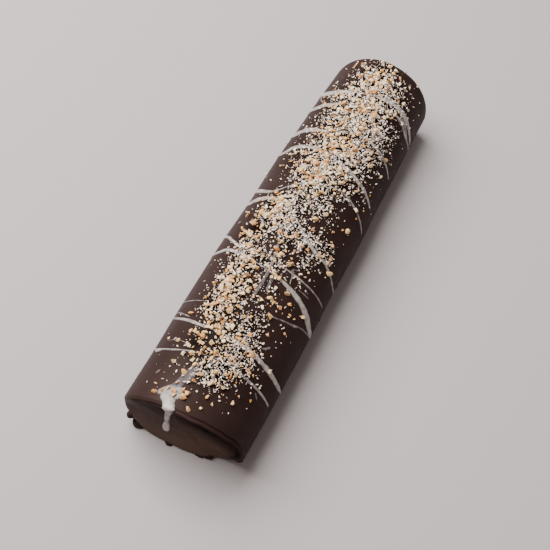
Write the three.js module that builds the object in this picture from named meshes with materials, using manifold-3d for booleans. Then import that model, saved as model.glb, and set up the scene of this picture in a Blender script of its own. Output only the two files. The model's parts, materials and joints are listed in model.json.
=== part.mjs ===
// A swiss roll cake: one long uncut roll under dark chocolate glaze, crossed by lines of thin white
// icing and strewn with chopped nuts along its crown. It is one solid, standing on its flat underside.
//
// Units are millimetres, +Z is up. The roll lies along X with its front end at -X. A place on its
// skin is given by two lengths: `along`, from the front rim towards the back, and `across`, round
// the section from the crown, positive towards the left flank (+Y).

import * as THREE from 'three';
import { ParametricGeometry } from 'three/addons/geometries/ParametricGeometry.js';
import { mergeVertices } from 'three/addons/utils/BufferGeometryUtils.js';
import Module from 'manifold-3d';

// ---------------------------------------------------------------- driving sizes

const LENGTH = 356.5;        // front rim to back rim
const FRONT_WIDTH = 90.8;
const BACK_WIDTH = 81.6;
const BELLY = 4.1;           // extra width half-way along
const BOW = 1.0;             // the axis bends this far towards +Y half-way along
const LEAN = 1.2;            // the crown stands this far towards +Y of the foot
const HEIGHT = 59;
const RISE = 1.0;            // extra height at the back end
const EQUATOR_SHARE = 0.37;  // height of the widest line, as a share of the height
const BASE_SHARE = 0.41;     // width of the flat underside, as a share of the width
const MIDDLE_SHARE = 0.45;   // height that the end faces shrink towards, as a share of the height

const FRONT_EDGE = 3;        // radius of the rounded front rim
const BACK_EDGE = 6;
const FACE_DISH = 2.2;       // how far the middle of an end face sinks in
const UNEVENNESS = 0.4;      // depth of the slow waves in the glaze

const COLUMNS = 48;          // steps round the section; every twelfth turns a quarter
const UNDERCUT_END = 2 / 3;  // share of the lower quarter-turn in which the flank curls under
const LENGTH_STEPS = 18;
const FINEST_STEP = 0.05;    // smaller facets are merged once everything is joined

// The front rim isn't cut square. Each pair is [across, how far the rim lies behind the square cut].
const FRONT_RIM = [
  [-112, 1.2], [-102, 1.5], [-93, 6.6], [-79, 6], [-72, 3.3], [-65, 0.6], [-57, 1.8], [-49, 3.2],
  [-42, 2.5], [-35, 0.7], [-30, 0.3], [-25, -0.7], [-16, -1.5], [-9, -2.8], [9, -3.1], [27, -3.8],
  [42, -2], [57, 2.3], [64, 4], [76, 3.5], [84, 2.4], [92, 1], [102, 0.8], [112, 1.2],
];
const BACK_ROUNDING = 2.2;   // the back rim draws in by this much at the flanks
const RIM_FADE = 40;         // length over which the rims' shape dies out along the roll

// Folds of glaze on the front face, each pair at a turn from the crown: a lip along the rim and,
// under it, a hollow. The hollow's place is a share of the way from the middle of the face out.
const LIP_REACH = 1.5;
const LIP_PLACE = 1.2;       // below the middle of the rounded rim
const LIP_SPREAD = 1.5;
const LIP_STRENGTH = [
  [-1.35, 0], [-1.15, 0.7], [-0.85, 1], [-0.3, 1], [-0.1, 0.6], [0.2, 0.35], [0.9, 0.3], [1.3, 0],
];
const HOLLOW_PLACE = [[-1.25, 0.86], [-0.95, 0.81], [-0.65, 0.77], [-0.35, 0.72], [0, 0.66], [0.5, 0.66]];
const HOLLOW_DEPTH = [[-1.4, 0], [-1.15, 3.2], [-0.7, 4.6], [-0.3, 4.4], [0, 2.2], [0.4, 1], [0.9, 0]];
const HOLLOW_SPREAD = [0.22, 0.09];  // inwards and outwards from its place

// Lines of icing thick enough to stand off the glaze. `way` lists [along, across] from left to
// right, and `width` gives the line's width at each of those points.
const ICING_LIFT = 0.9;      // height of a line above the glaze
const ICING_ROOT = 1.1;      // how deep its underside is set into the glaze
const ICING_STEP = 9.5;      // length of one facet of a line
const ICING = [
  { way: [[48, 61], [42.5, 44], [42.5, 30], [42, 17], [44, -9], [43.5, -28], [42.5, -55]],
    width: [1.4, 3.6, 1.7, 1.8, 1.8, 2.2, 1.8] },
  { way: [[74, 61], [68.5, 44], [67, 31], [64.5, 9], [62.5, -13], [60, -31], [57.5, -50], [60, -66]],
    width: [1.6, 2.2, 2.6, 3.4, 3.4, 3.8, 3.6, 1.8] },
  { way: [[138, 62], [134, 45], [134, 31], [131, 10], [122, -16], [118, -36], [111.5, -53], [111, -65]],
    width: [2.2, 3.0, 3.0, 2.6, 3.2, 5.0, 6.4, 3.6] },
  { way: [[155, 61], [148, 44], [142.5, 29], [137, 7], [132, -21], [132, -38], [132.5, -57]],
    width: [1.8, 2.2, 2.2, 1.8, 1.6, 1.6, 1.4] },
  { way: [[189, 61], [184.5, 48], [186, 36], [183.5, 13], [160.5, -19], [157.5, -36], [152, -54], [153, -66]],
    width: [2.6, 3.4, 4.4, 2.6, 3.2, 2.8, 2.4, 1.8] },
  { way: [[203, 61], [195.5, 44], [195, 29], [209, 5], [216, -19], [213.5, -36], [206, -56]],
    width: [1.8, 2.2, 2.0, 1.8, 2.0, 2.2, 1.8] },
  { way: [[247, 61], [242.5, 44], [245.5, 32], [243, 9], [236, -15], [232.5, -35], [227, -50]],
    width: [2.2, 3.0, 2.8, 2.6, 4.0, 3.4, 2.0] },
  { way: [[272, 61], [266, 44], [267, 32], [266, 13], [271, -9], [271.5, -32], [264, -55]],
    width: [3.2, 5.0, 5.4, 4.2, 3.0, 2.8, 1.8] },
  { way: [[304, 61], [298.5, 42], [298, 26], [302, 5], [308, -19], [311, -32], [306, -48], [309, -66]],
    width: [2.6, 4.4, 3.2, 2.4, 2.2, 2.4, 2.4, 1.6] },
  { way: [[323, 61], [313.5, 40], [311, 26], [312, 9], [315.5, -15], [317, -32], [311.5, -51], [310, -60]],
    width: [3.2, 5.6, 5.4, 4.8, 4.6, 4.8, 4.0, 2.0] },
];

// The spilt spoonful of icing at the front end, and the run that it sends down the end face.
const SPILL = { along: 8, across: 12, reach: [7.5, 8.5, 2.8], sunk: 1.4 };
const RUN = {
  start: 7.9, end: 12.4, top: 57, bottom: 15.5, width: 3.8, bulb: 5.2, lift: 1.2, root: 3,
};

// Larger pieces of nut, each [along, across, size]. The rest follow a rule, further down.
const LARGE_NUTS = [
  [7, 22.4, 5], [10, 3.2, 6.6], [4.6, -3.5, 5], [17, -10.5, 4.2], [26.5, -9, 5.4], [25.5, 11, 5.6],
  [41, 13, 5.2], [55, 13, 5.8], [59.5, -21, 7.4], [40.5, -18.5, 5.6], [82.5, 18, 5.6], [97, 18.5, 8.2],
  [105, 17, 6.6], [103.5, -14, 6.4], [109.5, -42, 4.6], [122, -12.5, 5.2], [140, -5.5, 6], [157, 3, 6],
  [153, -43, 6.4], [157.5, -37.5, 5.4], [192, -39, 5.8], [170.5, 25, 6.6], [228.5, 7.5, 7.6],
  [218, 15, 6.8], [231.5, -10.5, 6], [255.5, -12.5, 6], [283.5, -20, 5.8], [294.5, 14.5, 6.2],
  [309, -5, 5.6], [325.5, -0.5, 7.2],
];
const NUT_COUNT = 58;        // further pieces, strewn by the rule
const NUT_SIZE = [3.2, 4.6];
const NUT_SPACING = 5.4;     // no two pieces lie closer than this
const NUT_SEED = 41;
const BARE_FRONT = 18;       // the rule leaves this much of the front end alone

// The strewn band follows the crown: [along, middle of the band across, half its width].
const BAND = [
  [0, 6, 14], [20, -8, 16], [45, -9, 19], [70, 0, 25], [95, 6, 27], [135, 6, 29],
  [160, 0, 33], [200, -2, 33], [260, -3, 32], [330, -5, 30], [356, -6, 24],
];

// Chocolate that ran down and set where it met the ground, each lump given by its centre
// [along, sideways, up] and its size [length, depth, height]. What would reach below ground is cut flat.
const FOOT_DRIPS = [
  [4, 41, 8.5, 6, 6, 6], [4.5, 35, 1.5, 9, 10, 7], [8, 38, 6, 10, 7, 9], [0.4, 9.5, 0.4, 4, 6, 3],
  [3, -13, 1, 5, 9, 3.6], [5, -18.5, 1.6, 7, 9, 5], [10.5, -34.5, 9, 6, 5, 7],
  [139, -37, 2.1, 5, 9, 9.8], [173, -36.5, 2.1, 4.5, 9, 9.8], [204, -36.5, 2.2, 6, 9, 10.5],
  [229.5, -36, 2.1, 5, 9, 9.8], [86, -37, 2, 4.5, 9, 9], [50, -37, 2, 4.5, 9, 9], [290, -34.5, 2.1, 5, 9, 9.8],
  [62, 38.5, 2, 5, 9, 9], [124, 39, 2.1, 5, 9, 9.8], [192, 39, 2.2, 6, 9, 10.5], [252, 37.5, 2, 4.5, 9, 9],
  [316, 35, 2.1, 5, 9, 9.8],
];

// ---------------------------------------------------------------- small helpers

const QUARTER = Math.PI / 2;

/** Linear look-up of a value in a table of [place, value, ...] rows. */
function lookUp(table, place, column = 1) {
  const last = table.length - 1;
  const next = Math.min(Math.max(table.findIndex((row) => row[0] > place), 1), last);
  const index = place >= table[last][0] ? last : next;
  const [from, to] = [table[index - 1], table[index]];
  const share = THREE.MathUtils.clamp((place - from[0]) / (to[0] - from[0]), 0, 1);
  return THREE.MathUtils.lerp(from[column], to[column], share);
}

const bell = (offset) => Math.exp(-offset * offset);

/** Repeatable numbers from 0 to 1. */
function makeDraw(seed) {
  let state = seed >>> 0;
  return () => {
    state = (Math.imul(state, 1664525) + 1013904223) >>> 0;
    return state / 2 ** 32;
  };
}

// ---------------------------------------------------------------- the roll's skin

/** Half-width and sideways bend of the section at a distance from the front. */
function girth(along) {
  const share = along / LENGTH;
  const middle = 1 - (2 * share - 1) ** 2;
  const width = FRONT_WIDTH + (BACK_WIDTH - FRONT_WIDTH) * share + BELLY * middle;
  return { half: width / 2, bend: BOW * middle };
}

/** Section outline, [sideways, up], at a turn from the crown, positive towards +Y. */
function outline(turn, half) {
  const side = Math.sign(turn) * half;
  const size = Math.abs(turn);
  const equator = EQUATOR_SHARE * HEIGHT;
  if (size <= QUARTER) return [side * Math.sin(size), equator + (HEIGHT - equator) * Math.cos(size)];
  const lower = (size - QUARTER) / QUARTER;
  if (lower < UNDERCUT_END) {
    const curl = QUARTER * lower / UNDERCUT_END;
    const reach = BASE_SHARE + (1 - BASE_SHARE) * Math.cos(curl);
    return [side * reach, equator * (1 - Math.sin(curl))];
  }
  return [side * BASE_SHARE * (1 - lower) / (1 - UNDERCUT_END), 0];
}

/** Table of [length round the section, turn] for one side of the middle section. */
function measureSection() {
  const { half } = girth(LENGTH / 2);
  const steps = 360;
  const table = [[0, 0]];
  let previous = outline(0, half);
  for (let step = 1; step <= steps; step += 1) {
    const turn = Math.PI * step / steps;
    const point = outline(turn, half);
    const run = Math.hypot(point[0] - previous[0], point[1] - previous[1]);
    table.push([table[step - 1][0] + run, turn]);
    previous = point;
  }
  return table;
}

const sectionTable = measureSection();
const turnAt = (across) => Math.sign(across - LEAN) * lookUp(sectionTable, Math.abs(across - LEAN));
const turnTable = sectionTable.map(([across, turn]) => [turn, across]);
const acrossAt = (turn) => LEAN + Math.sign(turn) * lookUp(turnTable, Math.abs(turn));

/** How far the skin stands in or out of the plain section, for the slow waves of the glaze. */
function wave(along, turn) {
  const upper = Math.max(Math.cos(turn / 2), 0);
  const waves = Math.sin(along / 21 + 2 * Math.sin(turn)) + Math.sin(along / 13 - 3 * turn) * 0.6;
  return UNEVENNESS * upper * waves;
}

/** How far the rims depart from a square cut, fading away along the roll. */
function rimShift(along, turn) {
  const front = Math.max(1 - along / RIM_FADE, 0) ** 2 * lookUp(FRONT_RIM, acrossAt(turn));
  const back = Math.max(1 - (LENGTH - along) / RIM_FADE, 0) ** 2 * BACK_ROUNDING * (1 - Math.cos(turn));
  return front - back;
}

/** A point of the skin. `scale` shrinks the section towards its middle, for edges and end faces. */
function skinPoint(along, turn, target, scale = 1) {
  const { half, bend } = girth(THREE.MathUtils.clamp(along, 0, LENGTH));
  const [sideways, up] = outline(turn, half);
  const middle = MIDDLE_SHARE * HEIGHT;
  const swell = scale * (1 + wave(along, turn) / half);
  const underside = scale === 1 && up === 0;
  const forward = along + scale * rimShift(along, turn) - LENGTH / 2;
  const raised = (underside ? 0 : middle + (up - middle) * swell) * (1 + RISE / HEIGHT * along / LENGTH);
  return target.set(forward, bend + sideways * swell + LEAN * raised / HEIGHT, raised);
}

/** How far the front face lies behind its rim, at a share of the way out from its middle. */
function faceRelief(share, turn) {
  const dish = FACE_DISH * Math.max(1 - share * share / 0.8, 0);
  const aside = share - lookUp(HOLLOW_PLACE, turn);
  const hollow = lookUp(HOLLOW_DEPTH, turn) * bell(aside / HOLLOW_SPREAD[aside > 0 ? 1 : 0]);
  const belowRim = (1 - share) * FRONT_WIDTH / 2 - FRONT_EDGE * (1 - QUARTER / 2);
  const lip = LIP_REACH * lookUp(LIP_STRENGTH, turn) * bell((belowRim - LIP_PLACE) / LIP_SPREAD);
  return dish + hollow - lip;
}

/** Rings of the skin, from the middle of the front face to the middle of the back face. */
function makeRings() {
  const rings = [];
  const bend = (edge, degrees) => {
    const angle = THREE.MathUtils.degToRad(degrees);
    return { inset: edge * (1 - Math.sin(angle)), back: edge * (1 - Math.cos(angle)) };
  };
  for (const share of [0, 0.28, 0.46, 0.58, 0.68, 0.76, 0.83, 0.89]) rings.push({ end: 'front', share });
  for (const degrees of [0, 30, 60]) rings.push({ end: 'front', ...bend(FRONT_EDGE, degrees) });
  const from = FRONT_EDGE;
  const to = LENGTH - BACK_EDGE;
  for (let step = 0; step <= LENGTH_STEPS; step += 1) {
    const share = step / LENGTH_STEPS;
    rings.push({ end: 'side', along: from + (to - from) * (0.8 * share + 0.2 * share * share) });
  }
  for (const degrees of [60, 30, 0]) rings.push({ end: 'back', ...bend(BACK_EDGE, degrees) });
  for (const share of [0.6, 0.3, 0]) rings.push({ end: 'back', share });
  return rings;
}

const RINGS = makeRings();

/** The whole skin as one closed surface: u runs round the section, v from front to back. */
function bodySurface(u, v, target) {
  const ring = RINGS[Math.round(v * (RINGS.length - 1))];
  const turn = (1 - 2 * u) * Math.PI;
  if (ring.end === 'side') {
    skinPoint(ring.along, turn, target);
    return;
  }
  const front = ring.end === 'front';
  const { half } = girth(front ? 0 : LENGTH);
  const share = ring.share ?? 1 - ring.inset / half;
  const back = ring.back ?? 0;
  skinPoint(front ? 0 : LENGTH, turn, target, share);
  if (front) target.x += back + faceRelief(share, turn);
  else target.x -= back + FACE_DISH * Math.max(0.9 - share * share, 0);
}

// ---------------------------------------------------------------- solids

const wasm = await Module();
wasm.setup();

/** Closed three.js geometry to a solid. */
function toSolid(geometry) {
  const bare = geometry.clone();
  bare.deleteAttribute('normal');
  bare.deleteAttribute('uv');
  const merged = mergeVertices(bare, 1e-4);
  const { index } = merged;
  const triangles = [];
  for (let start = 0; start < index.count; start += 3) {
    const [a, b, c] = [index.getX(start), index.getX(start + 1), index.getX(start + 2)];
    if (a !== b && b !== c && c !== a) triangles.push(a, b, c);
  }
  return new wasm.Manifold(new wasm.Mesh({
    numProp: 3,
    vertProperties: new Float32Array(merged.attributes.position.array),
    triVerts: new Uint32Array(triangles),
  }));
}

/** Solid back to a three.js geometry. */
function toGeometry(solid) {
  const mesh = solid.getMesh();
  const geometry = new THREE.BufferGeometry();
  geometry.setAttribute('position', new THREE.BufferAttribute(mesh.vertProperties, 3));
  geometry.setIndex(new THREE.BufferAttribute(mesh.triVerts, 1));
  return geometry;
}

/** Point of the skin and the directions out of it, along it and across it. */
function frameAt(along, across) {
  const step = 0.6;
  const at = (a, b) => skinPoint(a, turnAt(b), new THREE.Vector3());
  const point = at(along, across);
  const forward = at(along + step, across).sub(at(along - step, across)).normalize();
  const left = at(along, across + step).sub(at(along, across - step)).normalize();
  const out = new THREE.Vector3().crossVectors(forward, left).normalize();
  return { point, forward, left, out };
}

/** A raised line with round ends: way and width are sampled at the same places. */
function makeLine({ way, width }) {
  const path = new THREE.CatmullRomCurve3(way.map(([along, across]) => new THREE.Vector3(along, across, 0)));
  const breadth = new THREE.CatmullRomCurve3(width.map((value, index) => new THREE.Vector3(value, index, 0)));
  const steps = Math.round(path.getLength() / ICING_STEP);
  const surface = (u, v, target) => {
    const station = Math.round(v * steps) / steps;
    const place = path.getPoint(station);
    const ahead = path.getTangent(station);
    const { point, forward, left, out } = frameAt(place.x, place.y);
    const aside = forward.multiplyScalar(-ahead.y).addScaledVector(left, ahead.x).normalize();
    const taper = station === 0 || station === 1 ? 0 : 1;
    const half = taper * breadth.getPoint(station).x / 2;
    const angle = u * 2 * Math.PI;
    const rise = Math.sin(angle) * (Math.sin(angle) > 0 ? ICING_LIFT : ICING_ROOT) * taper;
    target.copy(point).addScaledVector(aside, half * Math.cos(angle)).addScaledVector(out, rise);
  };
  return toSolid(new ParametricGeometry(surface, 4, steps));
}

/** An uneven crumb of chopped nut, half sunk in the glaze. */
function makeNut(along, across, size, draw) {
  const geometry = new THREE.IcosahedronGeometry(size / 2, 0);
  const { point, out } = frameAt(along, across);
  const merged = mergeVertices(geometry.deleteAttribute('normal').deleteAttribute('uv'), 1e-4);
  const places = merged.attributes.position;
  const vertex = new THREE.Vector3();
  const flat = new THREE.Vector3(1.1, 0.72 + 0.2 * draw(), 0.62 + 0.2 * draw());
  for (let index = 0; index < places.count; index += 1) {
    vertex.fromBufferAttribute(places, index).multiply(flat).multiplyScalar(0.85 + 0.3 * draw());
    places.setXYZ(index, vertex.x, vertex.y, vertex.z);
  }
  const tip = new THREE.Quaternion().setFromUnitVectors(new THREE.Vector3(0, 0, 1), out);
  const spin = new THREE.Quaternion().setFromAxisAngle(new THREE.Vector3(0, 0, 1), draw() * 2 * Math.PI);
  merged.applyQuaternion(tip.multiply(spin));
  merged.translate(...point.addScaledVector(out, 0.12 * size).toArray());
  return toSolid(merged);
}

/** Places of the smaller nuts: seeded draws inside the band, kept apart from one another. */
function strewNuts(draw) {
  const nuts = LARGE_NUTS.map((nut) => [...nut]);
  const wanted = nuts.length + NUT_COUNT;
  while (nuts.length < wanted) {
    const along = BARE_FRONT + draw() * (LENGTH - BARE_FRONT - BACK_EDGE);
    const offset = (draw() + draw() - 1) * 1.15;
    const across = lookUp(BAND, along) + offset * lookUp(BAND, along, 2);
    const size = THREE.MathUtils.lerp(...NUT_SIZE, draw());
    const clear = nuts.every(([a, b]) => Math.hypot(a - along, b - across) > NUT_SPACING);
    if (clear) nuts.push([along, across, size]);
  }
  return nuts;
}

/** A rounded lump, cut flat where it meets the ground. */
function makeLump(centre, reach, detail = 1) {
  const geometry = new THREE.IcosahedronGeometry(1, detail);
  geometry.scale(...reach);
  geometry.translate(...centre);
  const places = geometry.attributes.position;
  for (let index = 0; index < places.count; index += 1) {
    places.setZ(index, Math.max(places.getZ(index), 0));
  }
  return toSolid(geometry);
}

/** Foot drips: lumps that reach from the curled-under flank to the ground. */
function makeFootDrips() {
  return FOOT_DRIPS.map(([along, sideways, up, ...size]) => {
    return makeLump([along - LENGTH / 2, sideways, up], size.map((side) => side / 2));
  });
}

/** A point of the front face: how far out from the face's middle it lies, and its turn. */
function facePlace(sideways, up) {
  const middle = MIDDLE_SHARE * HEIGHT;
  const rise = (up - middle) / (up > middle ? HEIGHT - middle : middle);
  const reach = (sideways - LEAN * up / HEIGHT) / girth(0).half;
  return { share: Math.hypot(reach, rise), turn: Math.atan2(reach, rise) };
}

/** The spilt icing on the crown's front and the run down the end face. */
function makeSpill() {
  const { point, out } = frameAt(SPILL.along, SPILL.across);
  const pool = makeLump(point.addScaledVector(out, -SPILL.sunk).toArray(), SPILL.reach, 2);
  const steps = 8;
  const run = (u, v, target) => {
    const station = Math.round(v * steps) / steps;
    const open = station === 0 || station === 1 ? 0 : 1;
    const half = open * THREE.MathUtils.lerp(RUN.width, RUN.bulb, station ** 4) / 2;
    const angle = u * 2 * Math.PI;
    const up = THREE.MathUtils.lerp(RUN.top, RUN.bottom, station);
    const sideways = THREE.MathUtils.lerp(RUN.start, RUN.end, Math.min(1.3 * station, 1));
    const { share, turn } = facePlace(sideways, up);
    const face = share * rimShift(0, turn) + faceRelief(share, turn);
    const lift = open * Math.sin(angle) * (Math.sin(angle) > 0 ? RUN.lift : RUN.root);
    target.set(face - lift - LENGTH / 2, sideways - half * Math.cos(angle), up);
  };
  return [pool, toSolid(new ParametricGeometry(run, 6, steps))];
}

// ---------------------------------------------------------------- the cake

function makeCake() {
  const body = toSolid(new ParametricGeometry(bodySurface, COLUMNS, RINGS.length - 1));
  const draw = makeDraw(NUT_SEED);
  const nuts = strewNuts(draw).map(([along, across, size]) => makeNut(along, across, size, draw));
  const toppings = [...ICING.map(makeLine), ...makeSpill(), ...makeFootDrips(), ...nuts];
  const cake = toppings.reduce((whole, piece) => whole.add(piece), body);
  return toGeometry(cake.asOriginal().simplify(FINEST_STEP));
}

const geometry = makeCake();
geometry.computeBoundingBox();
const middle = geometry.boundingBox.getCenter(new THREE.Vector3());
geometry.translate(-middle.x, -middle.y, 0);

const glaze = new THREE.MeshStandardMaterial({ color: '#3a2a24', roughness: 0.42, metalness: 0 });
const cake = new THREE.Mesh(geometry, glaze);
cake.name = 'glazed_roll';

const group = new THREE.Group();
group.add(cake);

export default group;
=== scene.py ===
# %% [markdown]
# # A glazed swiss roll
# One long, uncut roll of sponge stands under a coat of dark chocolate. Thin white icing was flicked
# across it, a spoonful was spilt at one end, and chopped nuts and white flakes were strewn along the
# crown while the coat was still soft. The whole cake is a single solid in the frame, so everything
# here stands for that one node, piece by piece, in the order in which a cook would make it.

# %% Load the frame
import json
import math

import bmesh
import bpy
import numpy as np
from mathutils import Euler, Matrix, Vector
from mathutils.bvhtree import BVHTree

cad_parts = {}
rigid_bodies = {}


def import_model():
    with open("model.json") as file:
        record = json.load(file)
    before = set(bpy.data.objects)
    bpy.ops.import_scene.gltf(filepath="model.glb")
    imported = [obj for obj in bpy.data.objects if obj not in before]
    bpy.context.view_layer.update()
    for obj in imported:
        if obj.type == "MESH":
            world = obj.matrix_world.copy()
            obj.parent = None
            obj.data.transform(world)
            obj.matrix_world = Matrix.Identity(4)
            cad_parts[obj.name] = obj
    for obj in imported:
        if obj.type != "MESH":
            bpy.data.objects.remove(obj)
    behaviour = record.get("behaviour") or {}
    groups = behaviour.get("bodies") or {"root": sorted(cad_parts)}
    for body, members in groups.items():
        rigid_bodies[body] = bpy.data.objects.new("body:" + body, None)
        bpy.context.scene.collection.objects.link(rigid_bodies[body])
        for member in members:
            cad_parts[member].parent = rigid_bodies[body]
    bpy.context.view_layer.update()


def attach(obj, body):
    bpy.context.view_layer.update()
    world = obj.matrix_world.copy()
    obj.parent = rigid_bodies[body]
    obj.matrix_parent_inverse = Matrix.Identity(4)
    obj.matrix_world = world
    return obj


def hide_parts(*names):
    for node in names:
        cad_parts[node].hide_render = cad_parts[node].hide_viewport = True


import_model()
CAKE = "glazed_roll"
BODY = "root"
MM = 0.001
FULL_TURN = 6.283
AXIS_SHIFT = np.array([2.054, -0.901, 0.0])  # from the roll's own axis to the frame's, in millimetres


def add_object(name, data):
    """A new object, linked into the scene."""
    thing = bpy.data.objects.new(name, data)
    bpy.context.collection.objects.link(thing)
    return thing


def facing(place, target):
    """The placement that looks from one point at another."""
    turn = (Vector(target) - Vector(place)).to_track_quat("-Z", "Y").to_matrix().to_4x4()
    return Matrix.Translation(Vector(place)) @ turn


# %% [markdown]
# ## Camera
# A cake on a table is looked at from above and to one side, from about 0.8 metres. The lens is long
# enough that the roll's two ends keep nearly the same width. The camera could be tracked to an empty,
# but two named points are easier to read: where it stands and what it is aimed at. It is then rolled a
# few degrees, as a hand-held one is.

# %% Place the camera
LENS = 71.127
CAMERA_PLACE = Vector(AXIS_SHIFT + [-459.21, -154.04, 681.38]) * MM
CAMERA_AIM = Vector(AXIS_SHIFT + [-36.98, -1.25, 30.0]) * MM
CAMERA_ROLL = math.radians(6.9)

lens = bpy.data.cameras.new("camera")
lens.lens = LENS
lens.sensor_width = 36.0
camera = add_object("camera", lens)
camera.matrix_world = facing(CAMERA_PLACE, CAMERA_AIM) @ Matrix.Rotation(CAMERA_ROLL, 4, "Z")
bpy.context.scene.camera = camera
print("camera stands", round((CAMERA_AIM - CAMERA_PLACE).length, 3), "m from the cake")

# %% [markdown]
# ## Helpers for materials
# Every finish is a small tree of nodes around one Principled shader. A helper that adds a node, sets
# its sockets and links it keeps those trees short enough to read.

# %% Node helpers
def add_node(tree, kind, inputs=None, **settings):
    """A new node; `inputs` sets or links its sockets by name or number, `settings` its properties."""
    node = tree.nodes.new(kind)
    for name, value in settings.items():
        setattr(node, name, value)
    for key, value in (inputs or {}).items():
        if isinstance(value, bpy.types.NodeSocket):
            tree.links.new(value, node.inputs[key])
        else:
            node.inputs[key].default_value = value
    return node


def start_material(name, **sockets):
    """A material with one Principled shader, and that shader."""
    material = bpy.data.materials.new(name)
    material.use_nodes = True
    shader = material.node_tree.nodes["Principled BSDF"]
    for key, value in sockets.items():
        shader.inputs[key.replace("_", " ")].default_value = value
    return material, shader


def paint(hex_colour):
    """A colour written as on a paint chart, turned into the linear light that Blender works in."""
    parts = [int(hex_colour[place:place + 2], 16) / 255 for place in (1, 3, 5)]
    linear = [part / 12.92 if part <= 0.04045 else ((part + 0.055) / 1.055) ** 2.4 for part in parts]
    return (*linear, 1.0)


def noise_field(tree, size, detail=3.0, roughness=0.5, stretch=(1, 1, 1), seed=(0, 0, 0)):
    """Noise on the piece's own coordinates, with grains of about `size` millimetres."""
    place = add_node(tree, "ShaderNodeTexCoord").outputs["Object"]
    scale = tuple(1 / (size * MM * part) for part in stretch)
    mapped = add_node(tree, "ShaderNodeMapping", {"Vector": place, "Location": seed, "Scale": scale})
    noise = add_node(tree, "ShaderNodeTexNoise", {"Vector": mapped.outputs["Vector"], "Scale": 1.0,
                                                  "Detail": detail, "Roughness": roughness})
    return noise.outputs["Fac"]


NOISE_SPAN = (0.3, 0.7)


def painted(tree, name):
    """The value that an attribute has at each place of the piece."""
    return add_node(tree, "ShaderNodeAttribute", attribute_name=name).outputs["Fac"]


def remap(tree, value, onto, span=(0.0, 1.0)):
    """Carries a value from one span onto another."""
    ends = {"From Min": span[0], "From Max": span[1], "To Min": onto[0], "To Max": onto[1]}
    return add_node(tree, "ShaderNodeMapRange", {"Value": value, **ends}).outputs[0]


def mix_in(tree, share, first, second):
    """One colour turning into another as `share` goes from 0 to 1."""
    return add_node(tree, "ShaderNodeMix", {0: share, 6: first, 7: second}, data_type="RGBA").outputs[2]


def add_clamped(tree, first, second):
    """The sum of two values, kept between 0 and 1."""
    node = add_node(tree, "ShaderNodeMath", {0: first, 1: second}, operation="ADD", use_clamp=True)
    return node.outputs[0]


def ramp(tree, value, stops):
    """A colour ramp through [(place, colour), ...]."""
    node = add_node(tree, "ShaderNodeValToRGB", {"Fac": value})
    band = node.color_ramp
    for place, colour in stops[1:-1]:
        band.elements.new(place).color = colour
    band.elements[0].position, band.elements[0].color = stops[0]
    band.elements[-1].position, band.elements[-1].color = stops[-1]
    return node.outputs["Color"]


def add_relief(tree, shader, height, depth_mm, strength):
    """Fine relief that is too small for the mesh."""
    bump = add_node(tree, "ShaderNodeBump",
                    {"Height": height, "Distance": depth_mm * MM, "Strength": strength})
    earlier = shader.inputs["Normal"].links
    if earlier:
        tree.links.new(earlier[0].from_socket, bump.inputs["Normal"])
    tree.links.new(bump.outputs["Normal"], shader.inputs["Normal"])


print("material helpers ready")

# %% [markdown]
# ## Table and light
# The roll is shown on a plain pale table. One large soft lamp hangs high on the left, so the left
# shoulder shines and the right flank and the near end fall into shade. A weak, warm grey sky keeps the
# shade open, and a dim card on the right puts a faint sheen on the dark flank. A picture of a room
# could light the cake as well, but two lamps and a plain sky are easier to steer.

# %% Build the table
TABLE_REACH = 4.0
corners = [(TABLE_REACH * x, TABLE_REACH * y, 0) for x, y in [(-1, -1), (1, -1), (1, 1), (-1, 1)]]
table_mesh = bpy.data.meshes.new("table")
table_mesh.from_pydata(corners, [], [(0, 1, 2, 3)])
table = add_object("table", table_mesh)
table_paint, _ = start_material("pale_table", Roughness=0.75, Base_Color=paint("#aba5a6"))
table_mesh.materials.append(table_paint)
print("table reaches", TABLE_REACH, "m each way")

# %% Hang the lamps
def hang_lamp(name, place, aim, size, power, colour=(1, 1, 1)):
    """A square soft lamp that faces a point of the cake."""
    lamp = bpy.data.lights.new(name, "AREA")
    lamp.shape = "SQUARE"
    lamp.size = size
    lamp.energy = power
    lamp.color = colour
    add_object(name, lamp).matrix_world = facing(place, aim)


CAKE_MIDDLE = (0, 0, 0.03)
hang_lamp("window", (0.25, 1.00, 1.50), CAKE_MIDDLE, size=1.8, power=108.0, colour=(1.0, 0.965, 0.94))
hang_lamp("card", (-0.5, -1.1, 0.6), CAKE_MIDDLE, size=0.9, power=0.95)
sky = bpy.data.worlds.new("sky")
sky.use_nodes = True
sky_light = sky.node_tree.nodes["Background"].inputs
sky_light["Color"].default_value = (0.92, 0.80, 0.76, 1)
sky_light["Strength"].default_value = 0.37
bpy.context.scene.world = sky
print("lamps:", [item.name for item in bpy.data.lights])

# %% [markdown]
# ## The shape of the roll
# The real roll is sponge, rolled up and set down: round on top, widest a little over a third of the
# way up, curling under to a narrower flat base. It could be a scaled cylinder, sculpted by hand. But
# such a form follows a rule, so it is written as one: a section that is half an ellipse above its
# widest line and a tighter curve below it, swept along a very slightly bowed axis. `BELLY` is what
# mid-length gains in width, `BOW` how far the axis bends to the left there, `LEAN` how far the crown
# sits to the left, and `RISE` how much higher the far end stands. Two lengths then name any place on
# the skin: `along` from the near rim, and `across` round the section from the crown, positive to the
# left. Everything that lies on the cake is placed by those two lengths, so nothing can float or sink.

# %% Sizes of the roll, in millimetres
LENGTH = 356.5
FRONT_WIDTH = 90.8
BACK_WIDTH = 81.6
BELLY = 4.1
BOW = 1.0
LEAN = 1.2
HEIGHT = 59.0
RISE = 1.0
EQUATOR = 0.37 * HEIGHT
BASE_SHARE = 0.41
MIDDLE = 0.45 * HEIGHT
UNDERCUT_END = 2 / 3
QUARTER = math.pi / 2


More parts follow.
